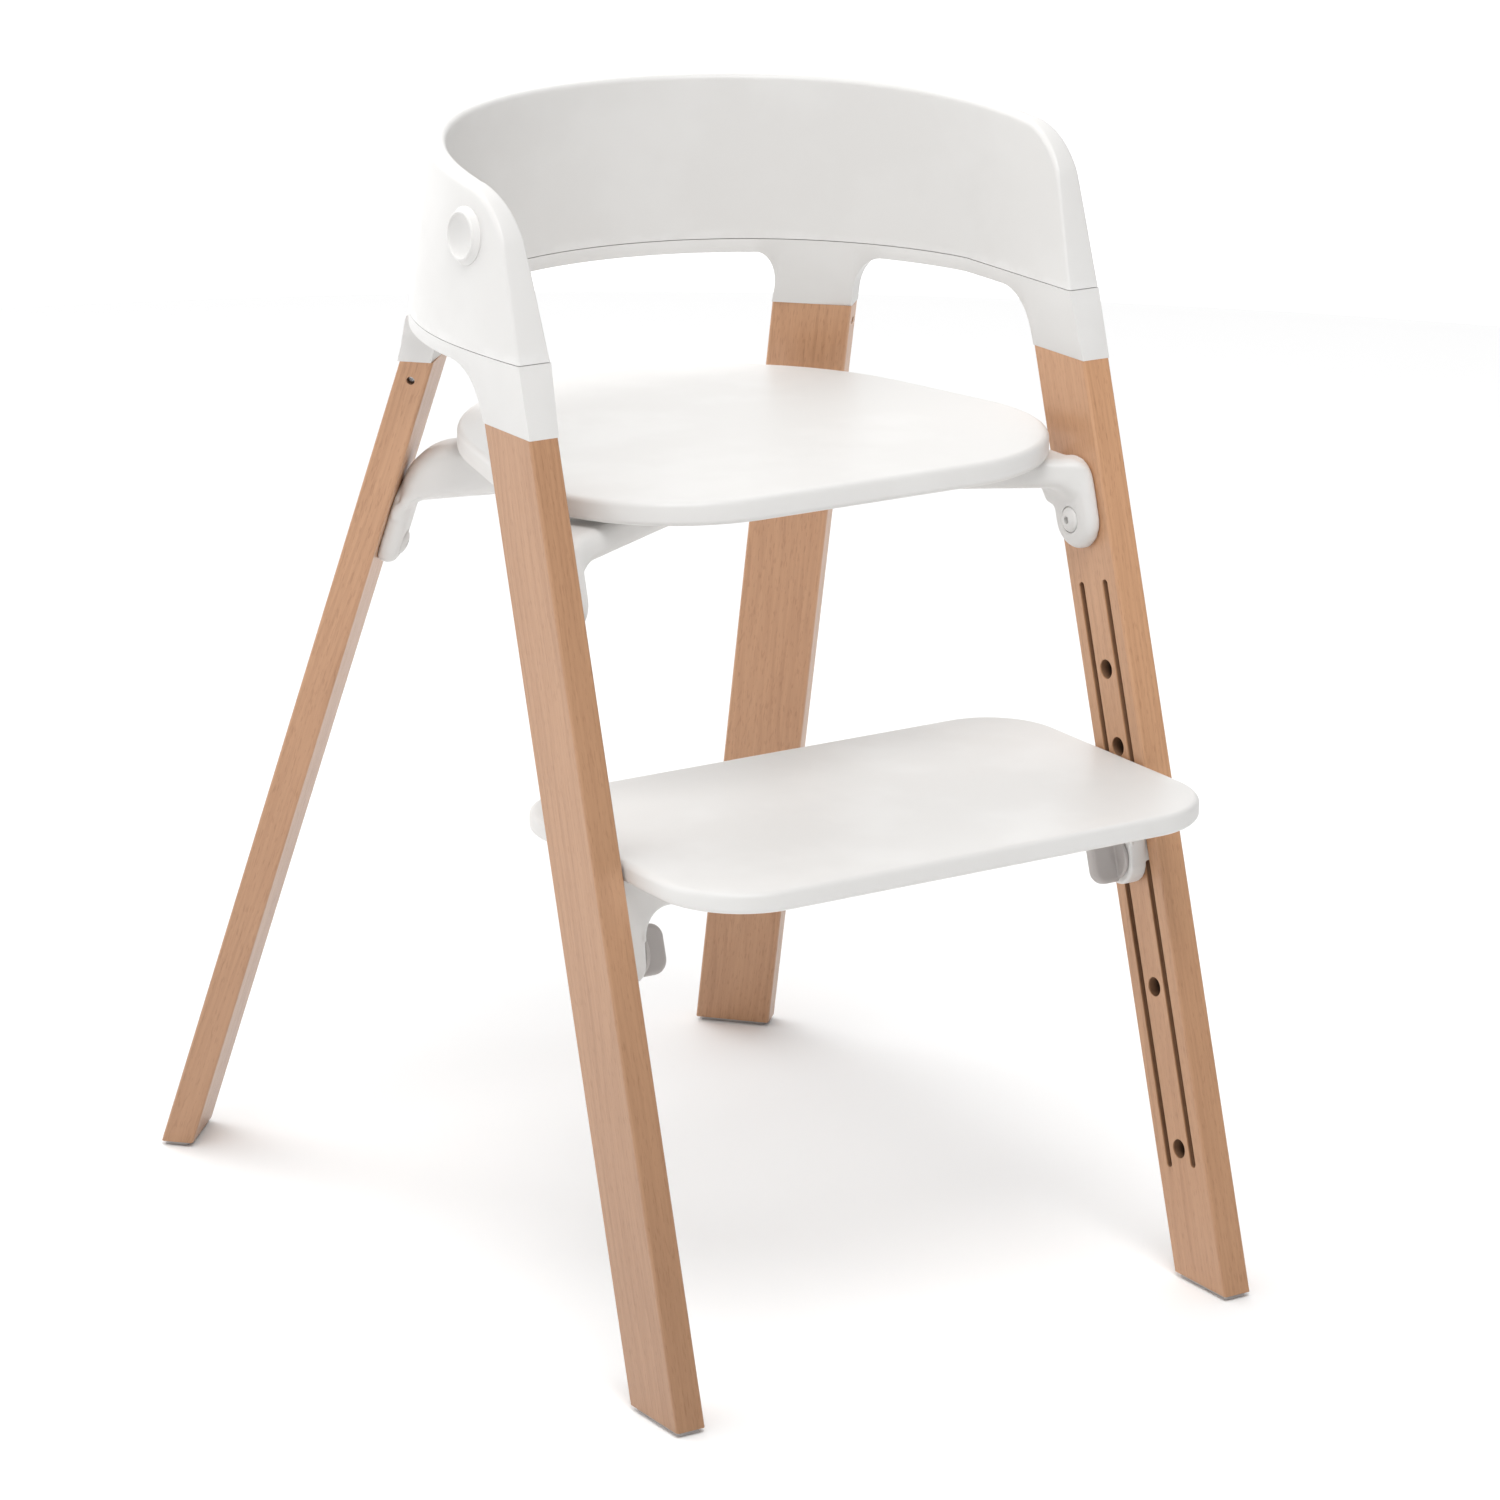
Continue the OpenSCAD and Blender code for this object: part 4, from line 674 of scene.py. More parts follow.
def frame_column(a, u, socket_point, leg_top, share, z, in_socket):
    """Heights and points of one upright line of the frame: at the seam, at its lower edge, and at
    the socket's foot where there is one."""
    outs = [(*seam_out(a), frame_top_z), (*mix(socket_point(u, 1), seam_out(a), share), z)]
    ins = [(*seam_in(a), frame_top_z), (*mix(socket_point(u, -1), seam_in(a), share), z)]
    if in_socket:
        outs.append((*socket_point(u, 1), leg_top))
        ins.append((*socket_point(u, -1), leg_top))
    return outs, ins


def socket_columns(a_from, a_to, u_from, u_to, socket_point, leg_top):
    straight = arch_straight_h / (seam_z - leg_top)
    columns = []
    for k in range(socket_steps + 1):
        a, u = mix(a_from, a_to, k / socket_steps), mix(u_from, u_to, k / socket_steps)
        columns.append(frame_column(a, u, socket_point, leg_top, straight, leg_top + arch_straight_h, True))
    return columns



def curve_columns(a_start, way, u_start, half_w, socket_point, leg_top):
    """The arch's curve as it leaves the side of a socket."""
    columns = []
    for k in range(1, curve_steps + 1):
        turned = pi / 2 * k / curve_steps
        run = 1 - cos(turned)
        share = mix(arch_straight_h / (seam_z - leg_top), 1, k / curve_steps)
        a, u = a_start + way * curve_angle * run, u_start * (1 + arch_curve_w / half_w * run)
        z = mix(leg_top + arch_straight_h, arch_z, sin(turned))
        columns.append(frame_column(a, u, socket_point, leg_top, share, z, False))
    return columns


def level_columns(a_from, a_to, socket_point, leg_top):
    return [frame_column(mix(a_from, a_to, k / arch_steps), 1, socket_point, leg_top, 1, arch_z, False)
            for k in range(1, arch_steps)]


half = socket_columns(end_angle, front_socket_end, -1, 1, front_socket_point, front_leg_top)
half += curve_columns(front_socket_end, 1, 1, front_half_w, front_socket_point, front_leg_top)
half += level_columns(front_socket_end + curve_angle, rear_socket_low - curve_angle, front_socket_point,
                      front_leg_top)
half += curve_columns(rear_socket_low, -1, 1, rear_half_w, rear_socket_point, rear_leg_top)[::-1]
half += socket_columns(rear_socket_low, rear_socket_high, 1, -1, rear_socket_point, rear_leg_top)
half += curve_columns(rear_socket_high, 1, -1, rear_half_w, rear_socket_point, rear_leg_top)
half += level_columns(rear_socket_high + curve_angle, pi / 2, rear_socket_point, rear_leg_top)
half.append(frame_column(pi / 2, -1, rear_socket_point, rear_leg_top, 1, arch_z, False))
flipped_half = []
for outs, ins in reversed(half[:-1]):
    flipped_half.append(([(-x, y, z) for x, y, z in outs], [(-x, y, z) for x, y, z in ins]))
columns = half + flipped_half
bore_sides = 48


def bake(piece):
    """Applies the object's modifiers to its mesh."""
    bpy.context.view_layer.update()
    graph = bpy.context.evaluated_depsgraph_get()
    mesh = bpy.data.meshes.new_from_object(piece.evaluated_get(graph))
    old = piece.data
    piece.modifiers.clear()
    piece.data = mesh
    bpy.data.meshes.remove(old)
    return piece


def bored(piece, holes):
    """Cuts round holes, each (start, end, radius), into the piece."""
    tool = bmesh.new()
    for start, end, radius in holes:
        way = Vector(end) - Vector(start)
        middle = Matrix.Translation((Vector(start) + Vector(end)) / 2)
        place = middle @ way.to_track_quat("Z", "Y").to_matrix().to_4x4()
        bmesh.ops.create_cone(tool, cap_ends=True, segments=bore_sides, radius1=radius, radius2=radius,
                              depth=way.length, matrix=place)
    cutter = shown("hole_tool", tool)
    cutter_mesh = cutter.data
    cut = piece.modifiers.new("holes", "BOOLEAN")
    cut.operation = "DIFFERENCE"
    cut.solver = "EXACT"
    cut.object = cutter
    bake(piece)
    bpy.data.objects.remove(cutter)
    bpy.data.meshes.remove(cutter_mesh)


def frame_work(columns):
    """The frame's faces between its upright lines, with a bevel weight on each edge to be rolled."""
    work = bmesh.new()
    weight = work.edges.layers.float.new("bevel_weight_edge")
    outs = [[work.verts.new((x, y + footprint_shift, z)) for x, y, z in out] for out, inner in columns]
    ins = [[work.verts.new((x, y + footprint_shift, z)) for x, y, z in inner] for out, inner in columns]

    def soften(a, b, share):
        edge = work.edges.get((a, b))
        edge[weight] = max(edge[weight], share)

    last = len(columns) - 1
    for k in range(last):
        o, p, i, j = outs[k], outs[k + 1], ins[k], ins[k + 1]
        rows = min(len(o), len(p))
        for r in range(rows - 1):
            work.faces.new((o[r], p[r], p[r + 1], o[r + 1]))
            work.faces.new((i[r], i[r + 1], j[r + 1], j[r]))
        work.faces.new((o[0], i[0], j[0], p[0]))
        work.faces.new((o[rows - 1], p[rows - 1], j[rows - 1], i[rows - 1]))
        share = foot_share if rows == 3 else 1.0
        for a, b in ((o, p), (i, j)):
            soften(a[0], b[0], seam_share)
            soften(a[rows - 1], b[rows - 1], share)
    for k in range(last + 1):
        o, i = outs[k], ins[k]
        if len(o) < 3:
            continue
        if k in (0, last):
            work.faces.new((o[0], i[0], i[1], o[1]))
            work.faces.new((o[1], i[1], i[2], o[2]))
            for r in (0, 1):
                soften(o[r], o[r + 1], end_share)
                soften(i[r], i[r + 1], end_share)
            soften(o[2], i[2], foot_share)
            soften(o[0], i[0], seam_share)
        elif len(outs[k - 1]) < 3 or len(outs[k + 1]) < 3:
            work.faces.new((o[1], i[1], i[2], o[2]))
            soften(o[1], o[2], side_share)
            soften(i[1], i[2], side_share)
            soften(o[2], i[2], foot_share)
    bmesh.ops.recalc_face_normals(work, faces=work.faces)
    return work


upper = shown("upper_frame_moulding", frame_work(columns))
roll = upper.modifiers.new("rolled_edges", "BEVEL")
roll.limit_method = "WEIGHT"
roll.width = frame_roll
roll.segments = 4
bake(upper)
shell_screw_angles = [(front_socket_end + rear_socket_low) / 2, mix(rear_socket_high, pi / 2, 0.75)]
shell_head_r, shell_head_h, shell_head_clear, shell_head_reach = 0.0035, 0.0025, 0.0003, 0.004
shell_screw_spots, shell_screw_holes = [], []
for side in (-1, 1):
    for a in shell_screw_angles:
        x, y = mix(seam_out(a), seam_in(a), 0.5)
        x, y = side * x, y + footprint_shift
        shell_screw_spots.append((x, y))
        shell_screw_holes.append(((x, y, arch_z - shell_head_reach),
                                  (x, y, arch_z + shell_head_h + shell_head_clear),
                                  shell_head_r + shell_head_clear / 2))
bored(upper, shell_screw_holes)
dress(upper, "frame", white_plastic, ["upper_frame"], 32.0)

# Accessory studs
# Two round white bosses clipped into the outside of the shell, each with a shallow round dish. They
# take the clips of a rail or a harness. The foot of each is sunk a little into the wall.
stud_z, stud_y = seam_z + 0.0667, -0.003
stud_base_r, stud_r, stud_out, stud_sink = 0.0175, 0.015, 0.0045, 0.0012
stud_dish_r, stud_dish_depth, stud_rim = 0.0134, 0.0045, 0.001
stud_base_h, stud_base_edge, stud_lip, stud_sides = 0.0010, 0.0004, 0.0003, 72
stud_share = (stud_z - seam_z) / (side_rim_z - seam_z)
stud_face_x = mix(hoop_r, rim_a, stud_share)
stud_slope = atan((hoop_r - rim_a) / (side_rim_z - seam_z))


def lathe(name, profile, place, sides):
    """A closed round solid from a profile of (radius, height) that starts and ends on the axis."""
    work = bmesh.new()
    rings = []
    for radius, height in profile:
        if radius < 1e-9:
            rings.append([work.verts.new(place @ Vector((0, 0, height)))])
        else:
            turns = [2 * pi * k / sides for k in range(sides)]
            rings.append([work.verts.new(place @ Vector((radius * cos(a), radius * sin(a), height)))
                          for a in turns])
    for low, high in zip(rings, rings[1:]):
        for k in range(sides):
            n = (k + 1) % sides
            if len(low) == 1:
                work.faces.new((low[0], high[n], high[k]))
            elif len(high) == 1:
                work.faces.new((low[k], low[n], high[0]))
            else:
                work.faces.new((low[k], low[n], high[n], high[k]))
    bmesh.ops.recalc_face_normals(work, faces=work.faces)
    return shown(name, work)


def stud_profile():
    """From the hidden foot, over the boss's rolled rim, down into the dish."""
    crest = stud_out - stud_rim
    profile = [(0, -stud_sink), (stud_base_r, -stud_sink), (stud_base_r, stud_base_h - stud_base_edge),
               (stud_base_r - stud_base_edge, stud_base_h)]
    profile += [(stud_r - stud_rim + stud_rim * cos(pi / 2 * k / 6), crest + stud_rim * sin(pi / 2 * k / 6))
                for k in range(7)]
    profile += [(stud_dish_r + stud_lip, stud_out), (stud_dish_r, stud_out - stud_lip / 2)]
    profile += [(stud_dish_r * cos(pi / 2 * k / 14), stud_out - stud_dish_depth * sin(pi / 2 * k / 14))
                for k in range(1, 14)]
    return profile + [(0, stud_out - stud_dish_depth)]


for side, label in ((-1, "left"), (1, "right")):
    outward = Vector((side * cos(stud_slope), 0, sin(stud_slope)))
    place = Matrix.Translation((side * stud_face_x, stud_y + footprint_shift, stud_z))
    place = place @ outward.to_track_quat("Z", "Y").to_matrix().to_4x4()
    stud = lathe("stud_" + label + "_moulding", stud_profile(), place, stud_sides)
    dress(stud, "frame", white_plastic, ["accessory_stud_" + label], 30.0)

# Seat
# A white moulded board, round at the back and straight in front, with softly rolled edges. It lies
# on the bracket's arms and is held by four screws from below.
seat_top, seat_t, seat_roll, flat_rim, roll_steps = 0.527, 0.015, 0.004, 0.003, 6
seat_r, seat_back_y, seat_front_y = 0.166, 0.037, -0.125
seat_front_half, seat_corner_r = 0.182, 0.106
seat_under = seat_top - seat_t


def join_rings(work, rings):
    """Closes a stack of rings with walls and two caps."""
    count = len(rings[0])
    for a, b in zip(rings, rings[1:]):
        for k in range(count):
            n = (k + 1) % count
            work.faces.new((a[k], a[n], b[n], b[k]))
    work.faces.new(rings[0][::-1])
    work.faces.new(rings[-1])


def soft_plate(name, arcs, low, high, roll):
    """A level board. Its outline is a row of arcs (centre x, centre y, radius, start and end in
    degrees), joined by straight stretches, and its upper and lower edges are rolled."""
    outline = []
    for x, y, radius, start, end in arcs:
        steps = max(8, int(abs(end - start) / 2.5))
        outline += [(x, y, radius, radians(mix(start, end, k / steps))) for k in range(steps + 1)]
    under_roll = roll * 0.9
    turns = [pi / 2 * k / roll_steps for k in range(roll_steps + 1)]
    rows = [(under_roll + flat_rim, low)]
    rows += [(under_roll * (1 - sin(a)), low + under_roll * (1 - cos(a))) for a in turns]
    rows += [(roll * (1 - cos(a)), high - roll * (1 - sin(a))) for a in turns]
    rows += [(roll + flat_rim, high)]
    work = bmesh.new()
    rings = []
    for inset, z in rows:
        ring = [(x + (radius - inset) * cos(a), y + footprint_shift + (radius - inset) * sin(a), z)
                for x, y, radius, a in outline]
        rings.append([work.verts.new(p) for p in ring])
    join_rings(work, rings)
    return shown(name, work)


front_corner_x, front_corner_y = seat_front_half - seat_corner_r, seat_front_y + seat_corner_r
to_corner = Vector((front_corner_x, front_corner_y - seat_back_y))
side_turn = degrees(atan2(to_corner.y, to_corner.x) + acos((seat_r - seat_corner_r) / to_corner.length))
seat = soft_plate("seat_moulding", [
    (0, seat_back_y, seat_r, side_turn, 180 - side_turn),
    (-front_corner_x, front_corner_y, seat_corner_r, 180 - side_turn, 270),
    (front_corner_x, front_corner_y, seat_corner_r, 270, 360 + side_turn)], seat_under, seat_top, seat_roll)
dress(seat, "frame", white_plastic, ["seat_plate"], 30.0)

# Seat bracket
# One white casting under the seat: four arms from a hub, each ending in a pad that is bolted to the
# inner face of a leg. Its edges are well rounded, as the mould needs.
front_pad_half, rear_pad_half, front_pad_t, rear_pad_t = 0.019, 0.016, 0.0105, 0.012
front_bolt_s, rear_bolt_s, front_pad_rise, rear_pad_rise = 0.4892, 0.475, 0.021, 0.026
hub_depth, front_arm_depth, front_arm_w, rear_arm_w = 0.028, 0.0235, 0.038, 0.032
hub_r, hub_y = 0.042, 0.030
arm_sink, arm_sink_start, arm_sink_end = 0.0045, 0.62, 0.72
rear_arm_level, rear_arm_drop, arm_curve_r = 0.45, 0.014, 0.016
front_arm_top_r, rear_arm_top_r, front_arm_down, rear_arm_down = 0.012, 0.037, 0.018, 0.032
front_cast_roll, rear_cast_roll, cast_voxel, cast_rounds = 0.007, 0.009, 0.0016, 7
pad_sink, head_clear, bolt_head_reach, seat_head_reach = 0.008, 0.0005, 0.012, 0.03
front_leg_place = Matrix.Translation((front_foot[0], front_foot[1], 0)) @ Matrix.Rotation(
    radians(-front_splay), 4, "Y") @ Matrix.Rotation(radians(-front_lean), 4, "X")
rear_leg_place = Matrix.Translation((rear_foot[0], rear_foot[1], 0)) @ Matrix.Rotation(
    radians(-rear_turn), 4, "Z") @ Matrix.Rotation(radians(rear_rake), 4, "Y") @ Matrix.Rotation(
    radians(rear_tilt), 4, "X")
front_face_x, rear_face_y = -front_leg_t / 2, -rear_leg_t / 2
hub_under = seat_under - hub_depth
arm_end_top = seat_under - arm_sink


def arc_points(x, y, radius, start, end, steps=10):
    return [(x + radius * cos(radians(mix(start, end, k / steps))),
             y + radius * sin(radians(mix(start, end, k / steps)))) for k in range(steps + 1)]


def slot_outline(radius, low, high):
    return arc_points(0, low, radius, 180, 360, 24) + arc_points(0, high, radius, 0, 180, 24)


def round_outline(x, y, radius, sides):
    return arc_points(x, y, radius, 0, 360 * (sides - 1) / sides, sides - 1)


def add_prism(work, outline, start, end, place, roll, steps=4):
    """Adds a closed prism with rolled rims to work. place maps outline x, outline y and depth."""
    part = bmesh.new()
    first = [part.verts.new((x, y, start)) for x, y in outline]
    second = [part.verts.new((x, y, end)) for x, y in outline]
    caps = [part.faces.new(first[::-1]), part.faces.new(second)]
    count = len(outline)
    for k in range(count):
        part.faces.new((first[k], first[(k + 1) % count], second[(k + 1) % count], second[k]))
    bmesh.ops.recalc_face_normals(part, faces=part.faces)
    if roll > 0:
        rims = list({edge for cap in caps for edge in cap.edges})
        bmesh.ops.bevel(part, geom=rims, offset=roll, offset_type="OFFSET", segments=steps, profile=0.5,
                        affect="EDGES", clamp_overlap=False)
    for vert in part.verts:
        vert.co = place(*vert.co)
    bmesh.ops.recalc_face_normals(part, faces=part.faces)
    merge_parts(work, part)


def merge_parts(work, part):
    """Moves part's faces into work."""
    mesh = bpy.data.meshes.new("part")
    part.to_mesh(mesh)
    part.free()
    work.from_mesh(mesh)
    bpy.data.meshes.remove(mesh)


def add_twin(work):
    """Adds the mirror image of all that is in work, for the other side of the chair."""
    twin = work.copy()
    for vert in twin.verts:
        vert.co.x *= -1
    bmesh.ops.reverse_faces(twin, faces=twin.faces)
    merge_parts(work, twin)


def sliced(work, point, normal):
    """Keeps what lies behind a plane and closes the cut."""
    found = bmesh.ops.bisect_plane(work, geom=work.verts[:] + work.edges[:] + work.faces[:], dist=1e-6,
                                   plane_co=point, plane_no=normal, clear_outer=True)
    edges = [g for g in found["geom_cut"] if isinstance(g, bmesh.types.BMEdge)]
    bmesh.ops.holes_fill(work, edges=edges)


def cast(name, parts, voxel, rounds, mirrored=False):
    """One smooth casting from closed parts that overlap."""
    work = bmesh.new()
    for part in parts:
        merge_parts(work, part)
    if mirrored:
        add_twin(work)
    piece = shown(name, work)
    melt = piece.modifiers.new("melt", "REMESH")
    melt.mode = "VOXEL"
    melt.voxel_size = voxel
    calm = piece.modifiers.new("calm", "SMOOTH")
    calm.factor = 0.5
    calm.iterations = rounds
    return bake(piece)


def in_front_leg(x, y, z):
    return front_leg_place @ Vector((x, y, z))


def in_rear_leg(x, y, z):
    return rear_leg_place @ Vector((x, y, z))


def across_front_leg(x, y, depth):
    """Places a prism whose depth runs through the front leg's thickness."""
    return in_front_leg(depth, x, y)


def along_front_leg(x, y, depth):
    """Places a prism whose depth runs over the front leg's width."""
    return in_front_leg(x, depth, y)


def across_rear_leg(x, y, depth):
    """Places a prism whose depth runs through the rear leg's thickness."""
    return in_rear_leg(x, depth, y)


def level_place(x, y, depth):
    """Places a prism whose depth runs upright."""
    return Vector((x, y, depth))


def arm_place(meet, shear):
    """Maps an arm's side view to the chair. Where shear is 1, the arm's end turns to lie along X = meet."""
    run = Vector((meet[0], meet[1] - hub_y))
    angle = atan2(run.y, run.x)

    def place(x, z, across):
        x = x - shear * x / run.length * across * tan(angle)
        return Vector((x * cos(angle) + across * sin(angle),
                       hub_y + footprint_shift + x * sin(angle) - across * cos(angle), z))
    return place, run.length


front_meet = front_centre(seat_under - front_arm_down) - np.array([front_half_t, 0])
rear_meet = rear_centre(seat_under - rear_arm_down) - rear_half_t * out_dir
front_normal = front_leg_place.to_3x3() @ Vector((1, 0, 0))
rear_normal = rear_leg_place.to_3x3() @ Vector((0, 1, 0))
front_face = in_front_leg(front_face_x, 0, front_bolt_s)
rear_face = in_rear_leg(0, rear_face_y, rear_bolt_s)

front_place, front_reach = arm_place(front_meet, 1)
foot, under = front_reach - front_pad_t - arm_curve_r, seat_under - front_arm_depth
front_side_view = [(0, under)] + arc_points(foot, under - arm_curve_r, arm_curve_r, 90, 0)
front_side_view += [(front_reach, under - arm_curve_r)]
front_side_view += arc_points(front_reach - front_arm_top_r, arm_end_top - front_arm_top_r,
                              front_arm_top_r, 0, 90)
front_side_view += [(arm_sink_end * front_reach, arm_end_top), (arm_sink_start * front_reach, seat_under),
                    (0, seat_under)]
front_arm = bmesh.new()
add_prism(front_arm, front_side_view, -front_arm_w / 2, front_arm_w / 2, front_place, front_cast_roll)
sliced(front_arm, front_face, front_normal)

rear_place, rear_reach = arm_place(rear_meet, 0)
under = hub_under - rear_arm_drop
lean_run = (seat_under - rear_arm_down - under + arm_curve_r) * tan(radians(rear_lean))
foot = rear_reach + lean_run - rear_pad_t / cos(radians(rear_lean)) - arm_curve_r
rear_side_view = [(0, hub_under), (rear_arm_level * rear_reach, hub_under)]
rear_side_view += arc_points(foot, under - arm_curve_r, arm_curve_r, 90, 0)
rear_side_view += [(rear_reach + lean_run, under - arm_curve_r), (rear_reach + lean_run / 2, under)]
rear_side_view += arc_points(rear_reach - rear_arm_top_r, arm_end_top - rear_arm_top_r,
                             rear_arm_top_r, 0, 90, 16)
rear_side_view += [(arm_sink_end * rear_reach, arm_end_top), (arm_sink_start * rear_reach, seat_under),
                   (0, seat_under)]
rear_arm = bmesh.new()
add_prism(rear_arm, rear_side_view, -rear_arm_w / 2, rear_arm_w / 2, rear_place, rear_cast_roll)
sliced(rear_arm, rear_face, rear_normal)

front_pad = bmesh.new()
add_prism(front_pad, slot_outline(front_pad_half, front_bolt_s, front_bolt_s + front_pad_rise),
          front_face_x - front_pad_t, front_face_x + pad_sink, across_front_leg, front_cast_roll)
sliced(front_pad, front_face, front_normal)
rear_pad = bmesh.new()
add_prism(rear_pad, slot_outline(rear_pad_half, rear_bolt_s, rear_bolt_s + rear_pad_rise),
          rear_face_y - rear_pad_t, rear_face_y + pad_sink, across_rear_leg, front_cast_roll)
sliced(rear_pad, rear_face, rear_normal)
hub = bmesh.new()
add_prism(hub, round_outline(0, hub_y + footprint_shift, hub_r, 64), hub_under, seat_under, level_place,
          front_cast_roll)
bracket = cast("seat_bracket_casting", [front_arm, rear_arm, front_pad, rear_pad, hub], cast_voxel,
               cast_rounds, True)

bolt_head_r, bolt_head_h, bolt_sink, bolt_r, hex_r = 0.008, 0.004, 0.0012, 0.0039, 0.0046 / sqrt(3)
front_head_seat = bolt_sink + front_face_x - front_pad_t
rear_head_seat = bolt_sink + rear_face_y - rear_pad_t
seat_screw_recess_h, plate_head_r, plate_screw_r = 0.014, 0.004, 0.002


def mirrored_point(side, p):
    return Vector((side * p[0], p[1], p[2]))


down = Vector((0, 0, -1))
holes, bolt_spots, seat_screw_spots = [], [], []
for side in (-1, 1):
    for base, way in ((in_front_leg(front_head_seat, 0, front_bolt_s), -front_normal),
                      (in_rear_leg(0, rear_head_seat, rear_bolt_s), -rear_normal)):
        base, way = mirrored_point(side, base), mirrored_point(side, way)
        holes.append((base, base + way * bolt_head_reach, bolt_head_r + head_clear))
        bolt_spots.append((base, way))
    for meet in (front_meet, rear_meet):
        x, y = mix(np.array([0, hub_y]), meet, 0.5)
        spot = Vector((side * x, y + footprint_shift, hub_under + seat_screw_recess_h))
        holes.append((spot, spot + down * seat_head_reach, plate_head_r + head_clear))
        seat_screw_spots.append((spot, down))
bored(bracket, holes)
dress(bracket, "frame", white_plastic, ["seat_bracket"], 40.0)

# Bolts, screws and nails
# White domed hexagon-socket bolts hold the bracket's pads to the legs. Plated screws hold the seat,
# the shell and the leg joints, and a nail holds each glide. One node group makes them all.
fastener_inputs = {"Head Radius": 0.008, "Rim Height": 0.0012, "Dome Height": 0.0028, "Shank Radius": 0.0039,
                   "Shank Length": 0.018, "Socket Radius": 0.0026, "Socket Depth": 0.0026}
fastener_sides, dome_steps = 48, 6


def build_fastener_group():
    """Copies of one round fastener stand on the points of a mesh. Each point's attribute "turn"
    turns the fastener's head, which looks along +Z, the right way."""
    tree = bpy.data.node_groups.new("round_fasteners", "GeometryNodeTree")
    tree.is_modifier = True
    tree.interface.new_socket("Geometry", in_out="INPUT", socket_type="NodeSocketGeometry")
    for label, value in fastener_inputs.items():
        socket = tree.interface.new_socket(label, in_out="INPUT", socket_type="NodeSocketFloat")
        socket.default_value = value
    tree.interface.new_socket("Material", in_out="INPUT", socket_type="NodeSocketMaterial")
    tree.interface.new_socket("Geometry", in_out="OUTPUT", socket_type="NodeSocketGeometry")
    given, result = tree.nodes.new("NodeGroupInput").outputs, tree.nodes.new("NodeGroupOutput").inputs
    head_radius, shank_length = given["Head Radius"], given["Shank Length"]

    def node(kind, **links):
        made = tree.nodes.new(kind)
        for label, value in links.items():
            socket = made.inputs[label.replace("_", " ")]
            if isinstance(value, (int, float, tuple)):
                socket.default_value = value
            else:
                tree.links.new(value, socket)
        return made

    head = node("GeometryNodeMeshCylinder", Radius=head_radius, Depth=given["Rim Height"])
    head.inputs["Vertices"].default_value = fastener_sides
    raised = node("ShaderNodeCombineXYZ", Z=times(tree, given["Rim Height"], 0.5))
    shape = node("GeometryNodeTransform", Geometry=head.outputs["Mesh"], Translation=raised.outputs[0])
    shape = shape.outputs[0]
    top = head.outputs["Top"]
    full_turn = math_node(tree, "ARCCOSINE", math_node(tree, "DIVIDE", given["Socket Radius"], head_radius))
    last_cos, last_sin = 1.0, 0.0
    for k in range(1, dome_steps + 1):
        turned = times(tree, full_turn, k / dome_steps)
        cosine, sine = math_node(tree, "COSINE", turned), math_node(tree, "SINE", turned)
        rise = times(tree, less(tree, sine, last_sin), given["Dome Height"])
        grown = node("GeometryNodeExtrudeMesh", Mesh=shape, Selection=top, Offset_Scale=rise)
        grown.inputs["Individual"].default_value = False
        drawn_in = node("GeometryNodeScaleElements", Geometry=grown.outputs["Mesh"],
                        Selection=grown.outputs["Top"], Scale=math_node(tree, "DIVIDE", cosine, last_cos))
        shape, top, last_cos, last_sin = drawn_in.outputs[0], grown.outputs["Top"], cosine, sine
    lip = node("GeometryNodeExtrudeMesh", Mesh=shape, Selection=top, Offset_Scale=0.0)
    lip.inputs["Individual"].default_value = False
    place = tree.nodes.new("GeometryNodeInputPosition")
    parts = node("ShaderNodeSeparateXYZ", Vector=place.outputs[0])
    bearing = math_node(tree, "ARCTAN2", parts.outputs["Y"], parts.outputs["X"])
    sixth = less(tree, math_node(tree, "FLOORED_MODULO", bearing, pi / 3), pi / 6)
    squeeze = math_node(tree, "DIVIDE", cos(pi / 6), math_node(tree, "COSINE", sixth))
    hexed = node("ShaderNodeCombineXYZ", X=times(tree, parts.outputs["X"], squeeze),
                 Y=times(tree, parts.outputs["Y"], squeeze), Z=parts.outputs["Z"])
    rim = node("GeometryNodeSetPosition", Geometry=lip.outputs["Mesh"], Selection=lip.outputs["Top"],
               Position=hexed.outputs[0])
    sunk = node("GeometryNodeExtrudeMesh", Mesh=rim.outputs[0], Selection=lip.outputs["Top"],
                Offset_Scale=times(tree, given["Socket Depth"], -1.0))
    sunk.inputs["Individual"].default_value = False
    shank = node("GeometryNodeMeshCylinder", Radius=given["Shank Radius"], Depth=shank_length)
    lowered = node("ShaderNodeCombineXYZ", Z=times(tree, shank_length, -0.5))
    shank_down = node("GeometryNodeTransform", Geometry=shank.outputs["Mesh"],
                      Translation=lowered.outputs[0])
    whole = tree.nodes.new("GeometryNodeJoinGeometry")
    tree.links.new(sunk.outputs["Mesh"], whole.inputs[0])
    tree.links.new(shank_down.outputs[0], whole.inputs[0])
    turn = tree.nodes.new("GeometryNodeInputNamedAttribute")
    turn.data_type = "FLOAT_VECTOR"
    turn.inputs["Name"].default_value = "turn"
    spread = node("GeometryNodeInstanceOnPoints", Points=given["Geometry"], Instance=whole.outputs[0],
                  Rotation=turn.outputs["Attribute"])
    solid = node("GeometryNodeRealizeInstances", Geometry=spread.outputs[0])
    painted = node("GeometryNodeSetMaterial", Geometry=solid.outputs[0], Material=given["Material"])
    tree.links.new(painted.outputs[0], result[0])
    return tree


fastener_group = build_fastener_group()


